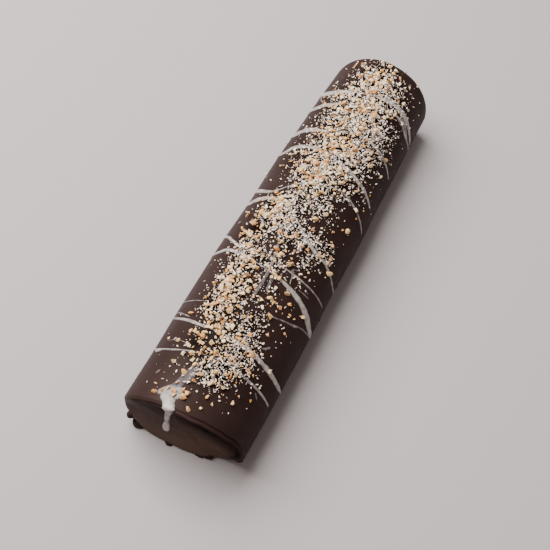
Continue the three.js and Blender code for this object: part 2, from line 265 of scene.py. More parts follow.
def look_up(table, place, column=1):
    """Linear look-up in rows of [place, value, ...]."""
    rows = np.array(table, dtype=float)
    return np.interp(place, rows[:, 0], rows[:, column])


def girth(along):
    """Half-width and sideways bend of the section at a distance from the near rim."""
    share = along / LENGTH
    middle = 1 - (2 * share - 1) ** 2
    return (FRONT_WIDTH + (BACK_WIDTH - FRONT_WIDTH) * share + BELLY * middle) / 2, BOW * middle


def outline(turn, half):
    """Sideways and up on the section, for a turn from the crown."""
    size = np.abs(turn)
    lower = np.clip((size - QUARTER) / QUARTER, 0, 1)
    curl = QUARTER * np.minimum(lower / UNDERCUT_END, 1)
    under = np.where(lower < UNDERCUT_END, BASE_SHARE + (1 - BASE_SHARE) * np.cos(curl),
                     BASE_SHARE * (1 - lower) / (1 - UNDERCUT_END))
    reach = np.where(size <= QUARTER, np.sin(size), under)
    up = np.where(size <= QUARTER, EQUATOR + (HEIGHT - EQUATOR) * np.cos(size),
                  EQUATOR * (1 - np.sin(curl)))
    return np.sign(turn) * half * reach, up


SECTION_STEPS = 721
turns = np.linspace(0, math.pi, SECTION_STEPS)
rim_y, rim_z = outline(turns, girth(LENGTH / 2)[0])
arcs = np.concatenate([[0], np.cumsum(np.hypot(np.diff(rim_y), np.diff(rim_z)))])
AROUND = arcs[-1]
print("round the section, crown to base:", round(AROUND, 1), "mm")

# %% Rims and waves, by the length round the section
FRONT_RIM = [
    [-118, 0], [-110, 1.2], [-102, 1.5], [-93, 6.6], [-79, 6], [-72, 3.3], [-65, 0.6], [-57, 1.8],
    [-49, 3.2], [-42, 2.5], [-35, 0.7], [-30, 0.3], [-25, -0.7], [-16, -1.5], [-9, -2.8], [8, -3.1],
    [13, -2], [20, -1.6], [27, -1.9], [42, -1.2], [57, 2.3], [64, 4], [76, 3.5], [84, 2.4], [92, 1],
    [102, 0.3], [118, 0],
]
BACK_ROUNDING = 2.2
RIM_FADE = 40.0
UNEVENNESS = 0.4
LONG_WAVE, SHORT_WAVE = 21.0, 13.0
SHORT_SHARE = 0.6


def turn_at(across):
    """Turn from the crown for a length round the section; the crown itself leans to the left."""
    across = np.asarray(across, float) - LEAN
    return np.sign(across) * np.interp(np.abs(across), arcs, turns)


def across_at(turn):
    """The length round the section for a turn from the crown."""
    return LEAN + np.sign(turn) * np.interp(np.abs(turn), turns, arcs)


def wave(along, turn):
    """Slow waves of the coat."""
    upper = np.maximum(np.cos(turn / 2), 0)
    long_wave = np.sin(along / LONG_WAVE + 2 * np.sin(turn))
    return UNEVENNESS * upper * (long_wave + SHORT_SHARE * np.sin(along / SHORT_WAVE - 3 * turn))


def rim_shift(along, turn):
    """How far the rims depart from a square cut; both departures die out along the roll."""
    front = np.maximum(1 - along / RIM_FADE, 0) ** 2 * look_up(FRONT_RIM, across_at(turn))
    back = np.maximum(1 - (LENGTH - along) / RIM_FADE, 0) ** 2 * BACK_ROUNDING * (1 - np.cos(turn))
    return front - back


print("near rim reaches", -min(shift for _, shift in FRONT_RIM), "mm forwards of a square cut")

# %% Places on the skin
def skin_point(along, turn, scale=1.0):
    """Points of the skin in millimetres; `scale` shrinks the section towards its middle."""
    along, turn, scale = np.broadcast_arrays(np.asarray(along, float), turn, scale)
    half, bend = girth(np.clip(along, 0, LENGTH))
    sideways, up = outline(turn, half)
    swell = scale * (1 + wave(along, turn) / half)
    base = (scale == 1) & (up == 0)
    forward = along + scale * rim_shift(along, turn) - LENGTH / 2
    raised = np.where(base, 0, MIDDLE + (up - MIDDLE) * swell) * (1 + RISE / HEIGHT * along / LENGTH)
    return np.stack([forward, bend + sideways * swell + LEAN * raised / HEIGHT, raised], axis=-1)


def to_frame(points):
    """Millimetres from the roll's own axis to metres in the frame."""
    return (np.asarray(points) + AXIS_SHIFT) * MM


def skin_frame(along, across, step=0.6):
    """Point of the skin with the directions along it, across it and out of it."""
    along, across = np.asarray(along, float), np.asarray(across, float)
    point = skin_point(along, turn_at(across))
    forward = skin_point(along + step, turn_at(across)) - skin_point(along - step, turn_at(across))
    left = skin_point(along, turn_at(across + step)) - skin_point(along, turn_at(across - step))
    forward = forward / np.linalg.norm(forward, axis=-1, keepdims=True)
    left = left / np.linalg.norm(left, axis=-1, keepdims=True)
    out = np.cross(forward, left)
    return point, forward, left, out / np.linalg.norm(out, axis=-1, keepdims=True)


print("crown at mid-length:", skin_point(LENGTH / 2, 0.0).round(1))

# %% [markdown]
# ## The near end
# The coat ran over the near end and set there in folds. Just under the rim it swells into a lip, with
# a valley behind it on the crown and a hollow beneath it on the face, strongest on the right, where
# the lip runs out onto the corner. This could be sculpted by hand, but a displacement written along
# the profile of the rim gives the same folds every time, and the run of icing that crosses the face
# can ask for the very same heights.

# %% Sizes of the folds
FRONT_EDGE = 3.0
BACK_EDGE = 6.0
FACE_DISH = 2.2
DISH_REACH = 0.8
LIP_STRENGTH = [[-1.35, 0], [-1.15, 0.7], [-0.85, 1], [-0.3, 1], [-0.1, 0.6], [0.2, 0.2], [0.9, 0.12],
                [1.3, 0]]
LIP_REACH, LIP_PLACE, LIP_BREADTH = 1.5, -1.2, 1.5
VALLEY, VALLEY_PLACE, VALLEY_BREADTH = 1.1, 0.4, 0.8
HOLLOW_PLACE = [[-1.25, 0.86], [-0.95, 0.81], [-0.65, 0.77], [-0.35, 0.72], [0.0, 0.66], [0.5, 0.66]]
HOLLOW_DEPTH = [[-1.4, 0], [-1.15, 3.2], [-0.7, 4.6], [-0.3, 4.4], [0.0, 2.2], [0.4, 1.0], [0.9, 0]]
HOLLOW_INWARDS, HOLLOW_OUTWARDS = 0.22, 0.09
CORNER_PLACE = [[-2.3, 0.78], [-2.09, 0.80], [-1.75, 0.86], [-1.51, 0.93], [-1.25, 0.95], [-1.0, 0.95]]
CORNER_STRENGTH = [[-2.5, 0], [-2.1, 0.8], [-1.5, 1.0], [-1.1, 0.6], [-0.9, 0]]
CREASE_DEPTH, CREASE_BREADTH = 1.8, 0.035
DENTS = [[0.7, 19.1, -8.9, 19.3, 0.8], [-2.7, 30.5, -13.5, 35.3, 0.6], [18, 22, 4, 27, 0.4]]
DENT_BREADTH = 2.6


def bell(offset):
    """1 at no offset, falling smoothly to almost nothing at 2."""
    return np.exp(-offset * offset)


def lip(past_rim, turn):
    """How far the coat swells out of itself near the rim; `past_rim` is negative on the face."""
    ridge = LIP_REACH * bell((past_rim - LIP_PLACE) / LIP_BREADTH)
    return look_up(LIP_STRENGTH, turn) * (ridge - VALLEY * bell((past_rim - VALLEY_PLACE) / VALLEY_BREADTH))


def corner_crease(share, turn, breadth, depth=1.0):
    """How deep the fold at the right corner is."""
    return depth * look_up(CORNER_STRENGTH, turn) * bell((share - look_up(CORNER_PLACE, turn)) / breadth)


def face_relief(share, turn):
    """How far the near face lies behind its rim, at a share of the way out from its middle."""
    past_hollow = share - look_up(HOLLOW_PLACE, turn)
    breadth = np.where(past_hollow > 0, HOLLOW_OUTWARDS, HOLLOW_INWARDS)
    hollow = look_up(HOLLOW_DEPTH, turn) * bell(past_hollow / breadth)
    crease = corner_crease(share, turn, CREASE_BREADTH, CREASE_DEPTH)
    dish = FACE_DISH * np.maximum(1 - share * share / DISH_REACH, 0)
    past_rim = (share - 1) * FRONT_WIDTH / 2 + FRONT_EDGE * (1 - QUARTER / 2)
    return dish + hollow + crease - lip(past_rim, turn)


ON_LIP, IN_HOLLOW, RIGHT_OF_CROWN = 0.95, 0.66, -0.6
lip_height = face_relief(IN_HOLLOW, RIGHT_OF_CROWN) - face_relief(ON_LIP, RIGHT_OF_CROWN)
print("lip stands", round(float(lip_height), 1), "mm proud of its hollow")

# %% Places on the near face
def face_dents(sideways, up):
    """Shallow streaks where the soft coat was dragged."""
    depth = np.zeros_like(sideways)
    for from_y, from_z, to_y, to_z, deep in DENTS:
        start, way = np.array([from_y, from_z]), np.array([to_y - from_y, to_z - from_z])
        place = np.stack([sideways, up], axis=-1) - start
        share = np.clip(place @ way / (way @ way), 0, 1)
        miss = np.linalg.norm(place - share[..., None] * way, axis=-1)
        depth += deep * bell(miss / DENT_BREADTH)
    return depth


def face_point(share, turn):
    """A point of the near face."""
    point = skin_point(0.0, turn, share)
    point[..., 0] += face_relief(share, turn) + face_dents(point[..., 1], point[..., 2])
    return point


def share_and_turn(sideways, up):
    """The share of the way out and the turn from the crown, for a place across and up."""
    rise = (up - MIDDLE) / np.where(up > MIDDLE, HEIGHT - MIDDLE, MIDDLE)
    reach = (sideways - LEAN * up / HEIGHT) / girth(0.0)[0]
    return np.hypot(reach, rise), np.arctan2(reach, rise)


def face_depth(sideways, up):
    """The near face's place along the roll, at a place across and up."""
    share, turn = share_and_turn(sideways, up)
    return float(face_point(np.array([share]), np.array([turn]))[0, 0])


print("middle of the near face lies", round(face_depth(0.0, MIDDLE) + LENGTH / 2, 1), "mm behind its rim")

# %% [markdown]
# ## The chocolate coat
# The coat is the main piece. It is one closed skin: rings that start at the middle of the near face,
# turn over its rim, run along the roll and close on the far face. Python places the rings by the rule
# above. The fine wandering of poured chocolate is added by Geometry Nodes, which push every point of
# the skin in or out along its normal by a smooth noise, and leave the base flat.

# %% Start and run a tree
def start_tree(name, **sizes):
    """A modifier tree with named number inputs. Returns the tree, its input sockets and its output."""
    tree = bpy.data.node_groups.new(name, "GeometryNodeTree")
    tree.interface.new_socket("Geometry", in_out="INPUT", socket_type="NodeSocketGeometry")
    for label, value in sizes.items():
        kind = {int: "NodeSocketInt", float: "NodeSocketFloat"}.get(type(value), "NodeSocketMaterial")
        kind = "NodeSocketCollection" if isinstance(value, bpy.types.Collection) else kind
        tree.interface.new_socket(label.replace("_", " "), in_out="INPUT", socket_type=kind)
    tree.interface.new_socket("Geometry", in_out="OUTPUT", socket_type="NodeSocketGeometry")
    given = tree.nodes.new("NodeGroupInput")
    return tree, given.outputs, tree.nodes.new("NodeGroupOutput").inputs["Geometry"]


def keep_result(piece):
    """Turns what the modifiers make into the piece's own plain mesh."""
    depsgraph = bpy.context.evaluated_depsgraph_get()
    made = bpy.data.meshes.new_from_object(piece.evaluated_get(depsgraph), preserve_all_data_layers=True,
                                           depsgraph=depsgraph)
    piece.modifiers.clear()
    piece.data = made
    made.name = piece.name


def grow(piece, tree, **sizes):
    """Runs a tree on a piece with these sizes and leaves a plain mesh in its place."""
    modifier = piece.modifiers.new(tree.name, "NODES")
    modifier.node_group = tree
    for item in tree.interface.items_tree:
        label = item.name.replace(" ", "_")
        if item.in_out == "INPUT" and label in sizes:
            modifier[item.identifier] = sizes[label]
    keep_result(piece)


print("trees can be started and run")

# %% Small nodes for the trees
def read_attribute(tree, name, kind="FLOAT"):
    """A named attribute as a field."""
    return add_node(tree, "GeometryNodeInputNamedAttribute", {"Name": name}, data_type=kind).outputs[0]


def calculate(tree, operation, *values):
    """One step of arithmetic on numbers."""
    return add_node(tree, "ShaderNodeMath", dict(enumerate(values)), operation=operation).outputs[0]


def calculate_vector(tree, operation, *values, output="Vector"):
    """One step of arithmetic on vectors."""
    node = add_node(tree, "ShaderNodeVectorMath", dict(enumerate(values)), operation=operation)
    return node.outputs[output]


def times(tree, vector, number):
    """A vector times a number."""
    node = add_node(tree, "ShaderNodeVectorMath", {0: vector, "Scale": number}, operation="SCALE")
    return node.outputs["Vector"]


def move(tree, shape, way):
    """Moves every point of a shape by a vector."""
    return add_node(tree, "GeometryNodeSetPosition", {"Geometry": shape, "Offset": way}).outputs[0]


def end_tree(tree, shape, material, result, smooth=True):
    """Every tree that makes pieces ends the same way: real geometry, shading and a material."""
    real = add_node(tree, "GeometryNodeRealizeInstances", {"Geometry": shape}).outputs[0]
    shaded = add_node(tree, "GeometryNodeSetShadeSmooth", {"Geometry": real, "Shade Smooth": smooth})
    coloured = add_node(tree, "GeometryNodeSetMaterial",
                        {"Geometry": shaded.outputs[0], "Material": material})
    tree.links.new(coloured.outputs[0], result)


print("tree helpers ready")

# %% Make, measure and finish a piece
def start_piece(name, points, edges=(), faces=()):
    """A new object from points, and edges or faces if given, in the frame's metres."""
    mesh = bpy.data.meshes.new(name)
    mesh.from_pydata(np.asarray(points).tolist(), edges, faces)
    return add_object(name, mesh)


def point_table(mesh, what):
    """The place ("co") or the direction outwards ("normal") of every point, one row each."""
    table = np.empty(len(mesh.vertices) * 3)
    mesh.vertices.foreach_get(what, table)
    return table.reshape(-1, 3)


def read_values(mesh, name):
    """What `write_attribute` stored under this name."""
    values = np.empty(len(mesh.vertices))
    mesh.attributes[name].data.foreach_get("value", values)
    return values


def write_attribute(mesh, name, values, kind="FLOAT"):
    """Stores one value per point, for the nodes and materials to read."""
    layer = mesh.attributes.new(name, kind, "POINT")
    layer.data.foreach_set("vector" if kind == "FLOAT_VECTOR" else "value", np.ravel(values))


def finish_piece(piece, material=None):
    """Ties a finished piece to the cake."""
    if material is not None:
        piece.data.materials.clear()
        piece.data.materials.append(material)
    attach(piece, BODY)
    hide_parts(CAKE)
    triangles = sum(len(face.vertices) - 2 for face in piece.data.polygons)
    print(piece.name, "has", triangles, "triangles")


print("piece helpers ready")

# %% Rings of the coat
CORE_SHARES = np.linspace(0, 0.55, 14)
OUTER_SHARE, OUTER_RINGS = 0.565, 36
RIM_DEGREES = np.linspace(9, 81, 9)
FINE_UNTIL, FINE_STEP = 12.0, 0.45
COARSE_FROM, COARSE_STEP = 12.4, 1.1
BACK_DEGREES = np.linspace(81, 0, 10)
BACK_SHARES = np.linspace(0.82, 0, 14)
BACK_DISH_REACH = 0.9


def set_in(edge, angle):
    """Inset and set-back of a ring that turns over a rounded rim."""
    return edge * (1 - math.sin(angle)), edge * (1 - math.cos(angle))


def swell_out(ring, turn, past_rim, lift):
    """Moves a ring out by the lip, along a normal that `lift` turns from forwards to outwards."""
    outwards = ring[:, 1:] - [0, MIDDLE]
    outwards /= np.linalg.norm(outwards, axis=1, keepdims=True)
    normal = np.column_stack([np.full(len(ring), -math.cos(lift)), math.sin(lift) * outwards])
    return ring + normal * lip(past_rim, turn)[:, None]


def back_ring(turn, share, back=0.0):
    """A ring of the far face, which is slightly dished."""
    ring = skin_point(LENGTH, turn, share)
    ring[..., 0] -= back + FACE_DISH * max(BACK_DISH_REACH - share ** 2, 0)
    return ring


def coat_rings(turn):
    """All rings of the skin, from the middle of the near face to the middle of the far one."""
    half_front, half_back = girth(0.0)[0], girth(LENGTH)[0]
    outer_shares = np.linspace(OUTER_SHARE, 1 - FRONT_EDGE / half_front, OUTER_RINGS)
    shares = np.concatenate([CORE_SHARES, outer_shares])
    rings = [face_point(np.full_like(turn, share), turn) for share in shares]
    for angle in np.radians(RIM_DEGREES):
        inset, back = set_in(FRONT_EDGE, angle)
        ring = skin_point(0.0, turn, 1 - inset / half_front)
        ring[..., 0] += back
        rings.append(swell_out(ring, turn, FRONT_EDGE * (angle - QUARTER / 2), angle))
    fine = np.arange(FRONT_EDGE, FINE_UNTIL, FINE_STEP)
    coarse = np.arange(COARSE_FROM, LENGTH - BACK_EDGE, COARSE_STEP)
    for along in np.concatenate([fine, coarse]):
        past_rim = along - FRONT_EDGE * (1 - QUARTER / 2)
        rings.append(swell_out(skin_point(along, turn), turn, past_rim, QUARTER))
    for angle in np.radians(BACK_DEGREES):
        inset, back = set_in(BACK_EDGE, angle)
        rings.append(back_ring(turn, 1 - inset / half_back, back))
    rings += [back_ring(turn, share) for share in BACK_SHARES]
    return np.array(rings)


OVER_REACH, COLUMN_STEP = 80.0, 1.05
UNDER_FROM, UNDER_COLUMNS = 83.0, 8
under_right = np.linspace(-AROUND, -UNDER_FROM, UNDER_COLUMNS)
over = np.arange(-OVER_REACH, OVER_REACH + 0.1, COLUMN_STEP)
under_left = np.linspace(UNDER_FROM, AROUND, UNDER_COLUMNS)[:-1]
column_across = np.concatenate([under_right, over, under_left])
coat_points = coat_rings(turn_at(column_across))
print("coat:", coat_points.shape[0], "rings of", coat_points.shape[1], "points")

# %% Skin the rings
def skin_rings(name, rings):
    """A closed mesh from rings, with the points of the first and last ring drawn into one."""
    count, width = rings.shape[:2]
    points = to_frame(rings[1:-1].reshape(-1, 3)).tolist()
    first, last = len(points), len(points) + 1
    points += [to_frame(rings[0].mean(axis=0)).tolist(), to_frame(rings[-1].mean(axis=0)).tolist()]
    faces = []
    for row in range(count - 3):
        for column in range(width):
            beside = (column + 1) % width
            here, ahead = row * width, (row + 1) * width
            faces.append((here + column, ahead + column, ahead + beside, here + beside))
    tail = (count - 3) * width
    for column in range(width):
        beside = (column + 1) % width
        faces.append((first, column, beside))
        faces.append((last, tail + beside, tail + column))
    piece = start_piece(name, points, faces=faces)
    piece.data.shade_smooth()
    return piece


coat = skin_rings("chocolate_coat", coat_points)
volume_sign = sum(face.normal.dot(face.center) * face.area for face in coat.data.polygons)
print("faces point", "outwards" if volume_sign > 0 else "inwards")

# %% [markdown]
# The coat isn't the same all over, and attributes say where. They could be painted by hand, but here
# each follows from the shape. `loose` lets the skin wander, and fades to nothing at the table. `dull`
# takes the gloss off the near end and the lower right flank. `folds` marks painted shade in the hollow
# under the lip and in the crease of the corner, where little light gets in. The last marks painted
# light: bounce light from the table, pale low on the near end, and a weaker highlight on its left curl.

# %% Mark where the coat is loose or dull, and where shade and light are painted
LOOSE_BELOW = 9.0
DULL_FACING, FOLD_FACING, CURL_FACING = (0.3, 0.5), (0.5, 0.3), (0.1, 0.3)
DULL_AT_FOOT, DULL_FULL_AT = 0.1, 45.0
DULL_FLANK = (1.1, 50.0)
# painted bounce light from the table, low on the near end, and a painted highlight on its left curl
BOUNCE_LOW = (1.25, 36.0)
BOUNCE_ACROSS = [[-42, 0.1], [-36, 0.3], [-29, 0.9], [-24, 1.15], [-5, 1.1], [5, 0.9], [20, 0.75], [42, 0.6]]
CURL_HIGHLIGHT, CURL_MIDDLE, CURL_BREADTH, CURL_LEFTWARDS = 0.5, 0.55, 0.3, 0.2
# where painted shade lies under the lip of the near face
HOLLOW_SIDE, HOLLOW_UP, HOLLOW_WIDE, HOLLOW_TALL = -24, 39.5, 16, 8
HOLLOW_SHADE, CREASE_SHADE_BREADTH = 1.2, 0.05


def fold_shade(places):
    """How much painted shade each place of the near face gets, under the lip and in the crease, from 0 to
    1.
    """
    sideways, up = places[:, 1], places[:, 2]
    beside = bell((sideways - HOLLOW_SIDE) / HOLLOW_WIDE)
    under_lip = HOLLOW_SHADE * beside * bell((up - HOLLOW_UP) / HOLLOW_TALL)
    crease = corner_crease(*share_and_turn(sideways, up), CREASE_SHADE_BREADTH)
    return np.clip(under_lip + crease, 0, 1)


def rising(values, start, reach):
    """0 up to `start`, then rising to 1 over `reach`."""
    return np.clip((values - start) / reach, 0, 1)


def fading(up, most, fade):
    """`most` at the table, one less at `fade` millimetres up, kept between 0 and 1."""
    return np.clip(most - up / (fade * MM), 0, 1)


def mark_coat():
    """Writes the four attributes on the coat."""
    mesh = coat.data
    normals, places = point_table(mesh, "normal"), point_table(mesh, "co")
    forwards, leftwards, up = -normals[:, 0], normals[:, 1], places[:, 2]
    places = places / MM - AXIS_SHIFT
    write_attribute(mesh, "loose", np.clip(up / (LOOSE_BELOW * MM), 0, 1))
    share = DULL_AT_FOOT + (1 - DULL_AT_FOOT) * np.clip(up / (DULL_FULL_AT * MM), 0, 1)
    right_flank = fading(up, *DULL_FLANK) * (leftwards < 0)
    write_attribute(mesh, "dull", np.maximum(rising(forwards, *DULL_FACING) * share, right_flank))
    front = rising(forwards, *FOLD_FACING)
    # painted shade in the folds of the near face
    folds = fold_shade(places) * front
    write_attribute(mesh, "folds", folds)
    # painted light: bounce light from the table low on the near end, and a weaker painted highlight on the
    # left curl
    low = fading(up, *BOUNCE_LOW) * look_up(BOUNCE_ACROSS, places[:, 1])
    curl = CURL_HIGHLIGHT * rising(forwards, *CURL_FACING) * bell((forwards - CURL_MIDDLE) / CURL_BREADTH)
    curl = curl * (leftwards > CURL_LEFTWARDS)
    write_attribute(mesh, "bloomed", np.maximum(front * (1 - folds) * low, curl * low))


mark_coat()
print("coat carries", [item.name for item in coat.data.attributes if not item.is_internal])

# %% [markdown]
# Poured chocolate never sets quite even. The tree below pushes each point of the skin along its normal
# by noise times `loose`. Two sizes of noise are enough: broad swells a few centimetres across, and fine
# puckers. A Displace modifier would do the same, but a tree can read the attribute and keep its sizes
# as named inputs.

# %% Let the coat wander
def make_wander_tree():
    tree, given, result = start_tree("settled_chocolate", Swell_Height=0.0, Swell_Size=0.0,
                                     Pucker_Height=0.0, Pucker_Size=0.0)
    place = add_node(tree, "GeometryNodeInputPosition").outputs[0]
    normal = add_node(tree, "GeometryNodeInputNormal").outputs[0]
    total = None
    for label, seed in (("Swell", 3.1), ("Pucker", 8.7)):
        grain = calculate(tree, "DIVIDE", 1.0, given[label + " Size"])
        noise = add_node(tree, "ShaderNodeTexNoise",
                         {"Vector": place, "W": seed, "Scale": grain, "Detail": 1.0},
                         noise_dimensions="4D")
        centred = calculate(tree, "SUBTRACT", noise.outputs[0], 0.5)
        push = calculate(tree, "MULTIPLY", centred, given[label + " Height"])
        total = push if total is None else calculate(tree, "ADD", total, push)
    free = calculate(tree, "MULTIPLY", total, read_attribute(tree, "loose"))
    tree.links.new(move(tree, given["Geometry"], times(tree, normal, free)), result)
    return tree


grow(coat, make_wander_tree(), Swell_Height=0.5 * MM, Swell_Size=30 * MM,
     Pucker_Height=0.22 * MM, Pucker_Size=5 * MM)
print("coat wandered; it still has", len(coat.data.vertices), "points")

# %% [markdown]
# ## Finish of the chocolate
# Set chocolate coating is nearly black-brown with a satin gloss. It isn't even: the gloss breaks up
# where fat has bloomed or a finger has brushed it. So the colour varies by a few percent, the
# roughness varies more, and a faint relief of drag marks runs along the pour. Three attributes steer
# the rest: one, which a later cell writes, paints shade into the chocolate between the bits and in
# the folds, another paints light in, paling it low on the near end and on its left curl, and `dull`
# lowers the gloss. A painted picture could do this too, but it would need the skin laid out flat first.

# %% Mix the chocolate
def make_chocolate():
    material, shader = start_material("dark_chocolate", Roughness=0.5, IOR=1.37,
                                      Specular_Tint=(1.0, 0.78, 0.70, 1.0))
    tree = material.node_tree
    blotch = noise_field(tree, 34, detail=4.0)
    colour = ramp(tree, blotch, [(0.3, paint("#281c19")), (0.7, paint("#302220"))])
    # painted shade: the chocolate goes nearly black between the bits and in the folds of the near end
    colour = mix_in(tree, painted(tree, "strewn"), colour, paint("#080403"))
    # painted light: paler where bounce light is painted low on the near end and a highlight on its left
    # curl
    colour = mix_in(tree, painted(tree, "bloomed"), colour, paint("#594740"))
    tree.links.new(colour, shader.inputs["Base Color"])
    bloom = noise_field(tree, 9, detail=5.0, roughness=0.6, seed=(4, 1, 2))
    tree.links.new(remap(tree, bloom, (0.42, 0.56), NOISE_SPAN), shader.inputs["Roughness"])
    gloss = remap(tree, painted(tree, "dull"), (0.15, 0.03))
    tree.links.new(gloss, shader.inputs["Specular IOR Level"])
    add_relief(tree, shader, noise_field(tree, 2.2), 0.05, 0.6)
    add_relief(tree, shader, noise_field(tree, 11, detail=2.0, stretch=(1.0, 0.35, 1.0)), 0.25, 0.5)
    return material


chocolate = make_chocolate()
finish_piece(coat, chocolate)

# %% [markdown]
# ## Drips at the foot
# Where the coat ran down it met the table and set in small feet under the curl of the flank. They
# could be pulled out of the coat by hand, but each is the same rounded nub. So Geometry Nodes place one
# nub on a point per drip, stretch it to that drip's own size, let it wander a little and press whatever
# would reach below the table flat against it.

# %% Set the drips, by rows of [along, sideways, up, length, breadth, height] in millimetres
FOOT_DRIPS = [
    [4, 41, 8.5, 6, 6, 6], [4.5, 35, 1.5, 9, 10, 7], [8, 38, 6, 10, 7, 9], [0.4, 9.5, 0.4, 4, 6, 3],
    [3, -13, 1, 5, 9, 3.6], [5, -18.5, 1.6, 7, 9, 5], [10.5, -34.5, 9, 6, 5, 7],
    [139, -37, 2.1, 5, 9, 9.8], [173, -36.5, 2.1, 4.5, 9, 9.8], [204, -36.5, 2.2, 6, 9, 10.5],
    [229.5, -36, 2.1, 5, 9, 9.8], [86, -37, 2, 4.5, 9, 9], [50, -37, 2, 4.5, 9, 9],
    [290, -34.5, 2.1, 5, 9, 9.8], [62, 38.5, 2, 5, 9, 9], [124, 39, 2.1, 5, 9, 9.8],
    [192, 39, 2.2, 6, 9, 10.5], [252, 37.5, 2, 4.5, 9, 9], [316, 35, 2.1, 5, 9, 9.8],
]
DRIP_GRAIN = 4.0
LOWEST = (-10.0, -10.0, 0.0)  # no point of a drip goes below the table's top


def make_drip_tree():
    tree, given, result = start_tree("foot_drips", Material=chocolate, Roundness=0, Wander=0.0)
    nub = add_node(tree, "GeometryNodeMeshIcoSphere", {"Radius": 1.0, "Subdivisions": given["Roundness"]})
    stood = add_node(tree, "GeometryNodeInstanceOnPoints",
                     {"Points": given["Geometry"], "Instance": nub.outputs["Mesh"],
                      "Scale": read_attribute(tree, "reach", "FLOAT_VECTOR")})
    real = add_node(tree, "GeometryNodeRealizeInstances", {"Geometry": stood.outputs[0]})
    place = add_node(tree, "GeometryNodeInputPosition").outputs[0]
    noise = add_node(tree, "ShaderNodeTexNoise",
                     {"Vector": place, "Scale": 1 / (DRIP_GRAIN * MM), "Detail": 1.0})
    shifted = calculate_vector(tree, "SUBTRACT", noise.outputs[1], (0.5, 0.5, 0.5))
    moved = move(tree, real.outputs[0], times(tree, shifted, given["Wander"]))
    above = calculate_vector(tree, "MAXIMUM", place, LOWEST)
    pressed = add_node(tree, "GeometryNodeSetPosition", {"Geometry": moved, "Position": above})
    end_tree(tree, pressed.outputs[0], given["Material"], result)
    return tree


drip_rows = np.array(FOOT_DRIPS, dtype=float)
drip_places = drip_rows[:, :3] - [LENGTH / 2, 0, 0]
drips = start_piece("foot_drips", to_frame(drip_places))
write_attribute(drips.data, "reach", drip_rows[:, 3:] / 2 * MM, "FLOAT_VECTOR")
grow(drips, make_drip_tree(), Material=chocolate, Roundness=4, Wander=1.2 * MM)
finish_piece(drips)

# %% [markdown]
# ## Lines of icing
# Thin white icing was flicked across the roll from a spoon. It lies as raised threads, wide and round
# where the flick slowed down, thin in the middle of the stroke, and so thin in places that the
# chocolate shows through. Bevelled curves alone would give round pipes. So Geometry Nodes turn each
# path into a thread as broad as the attribute on its points says, and squash it onto the skin: `spine`
# remembers where the path ran, and `out` which way is up from the skin there.

# %% Where the icing lies, in rows of [along, across, breadth] in millimetres
THREADS = [
    [[45.5, 61, 1.4], [42.5, 50, 1.6], [40, 44, 3.6], [40, 37, 1.7], [40, 28, 1.7], [41.5, 17, 1.8],
     [44, -9, 1.8], [43, -28, 2.2], [42, -55, 1.8]],
    [[74, 61, 1.6], [68.5, 44, 2.2], [66, 31, 2.8], [63.2, 15, 3.2], [63.2, 5, 3.4], [62, -13, 3.4],
     [59.5, -31, 3.8], [57.5, -50, 3.6], [60, -66, 1.8]],
    [[134.5, 62, 2.2], [131, 45, 3.2], [132, 36, 3.2], [131.2, 28, 3], [128, 15, 2.8], [126, 8, 2.6],
     [121.5, -16, 3.4], [116.5, -36, 5], [110, -53, 6.4], [110, -65, 3.6]],
    [[154, 61, 2], [147, 44, 2.6], [142.5, 37, 2.6], [138.5, 30, 2.4], [135.5, 22, 2], [133.5, 7, 1.8],
     [131.5, -21, 1.6], [131.5, -38, 1.6], [132, -57, 1.4]],
    [[189, 61, 2.6], [184.5, 48, 4], [185.5, 36, 5], [183.5, 13, 2.6], [160, -19, 3.2], [156.5, -36, 2.8],
     [151.5, -54, 2.4], [153, -66, 1.8]],
    [[204, 61, 2.4], [197.5, 46, 4.2], [193.5, 34, 3.6], [195, 24, 2.2], [209, 5, 1.8], [215.5, -19, 2],
     [212.5, -36, 2.2], [205.5, -56, 1.8]],
    [[243.5, 61, 2.4], [239.5, 44, 4.2], [242.5, 36, 4.8], [243.5, 28, 4], [242, 9, 2.6], [236, -15, 4],
     [231.5, -35, 3.4], [226, -50, 2]],
    [[267.5, 61, 4], [262, 44, 6.2], [263, 34, 6], [262.5, 25, 5], [263, 13, 4.2], [271, -9, 3],
     [270.5, -32, 2.8], [264, -55, 1.8]],
    [[297, 61, 3.4], [291.8, 42, 5], [292.5, 34, 5.4], [293.5, 24, 4.4], [298, 5, 2.4], [307, -19, 2.2],
     [310, -32, 2.4], [305, -48, 2.4], [308, -66, 1.6]],
    [[318, 61, 3.6], [310.2, 40, 6], [309, 27, 6], [311.5, 9, 4.8], [315.5, -15, 4.8], [317, -32, 5],
     [311.5, -51, 4], [310, -60, 2]],
]
FINE_THREADS = [
    [[48, 38.5, 0.8], [48, 26, 0.8], [46.5, 18.5, 0.6]],
    [[77, 54, 1.0], [74.5, 47, 1.2], [72.5, 41.5, 1.2], [69, 31, 1.0]],
    [[90, 60, 1.6], [86, 53, 1.4], [84.3, 40, 1.2], [84, 26, 0.9]],
    [[92, -16.5, 1.2], [93.5, -22.5, 1.2], [96, -29.5, 1.2], [99.5, -39, 2.2], [102, -43, 1.2],
     [104, -48.5, 1.3], [107, -58.5, 1.2]],
    [[124, -28.5, 1.0], [124.3, -34, 1.0], [124.5, -39, 1.7]],
    [[123, -21, 0.8], [130, -19.5, 0.8], [134, -17.5, 0.8], [137, -22, 0.9], [139.5, -19, 0.7]],
    [[68, -25.5, 1.4], [70.5, -28.5, 1.4], [73, -30.5, 3.0]],
    [[311, -31.5, 2.2], [312, -35.5, 2.4], [310, -41.5, 2.4], [306.5, -48, 2.4], [305, -52.5, 2.2],
     [308, -63.5, 1.6]],
    [[74, -66.5, 2.6], [78, -65.5, 2.2]],
    [[37, -41.5, 1.6], [40, -37, 1.2]],
]
TRAIL = [[9, 12, 9], [18, 9.5, 7], [26, 6.5, 8], [33, 6, 5], [37, 6.5, 3]]
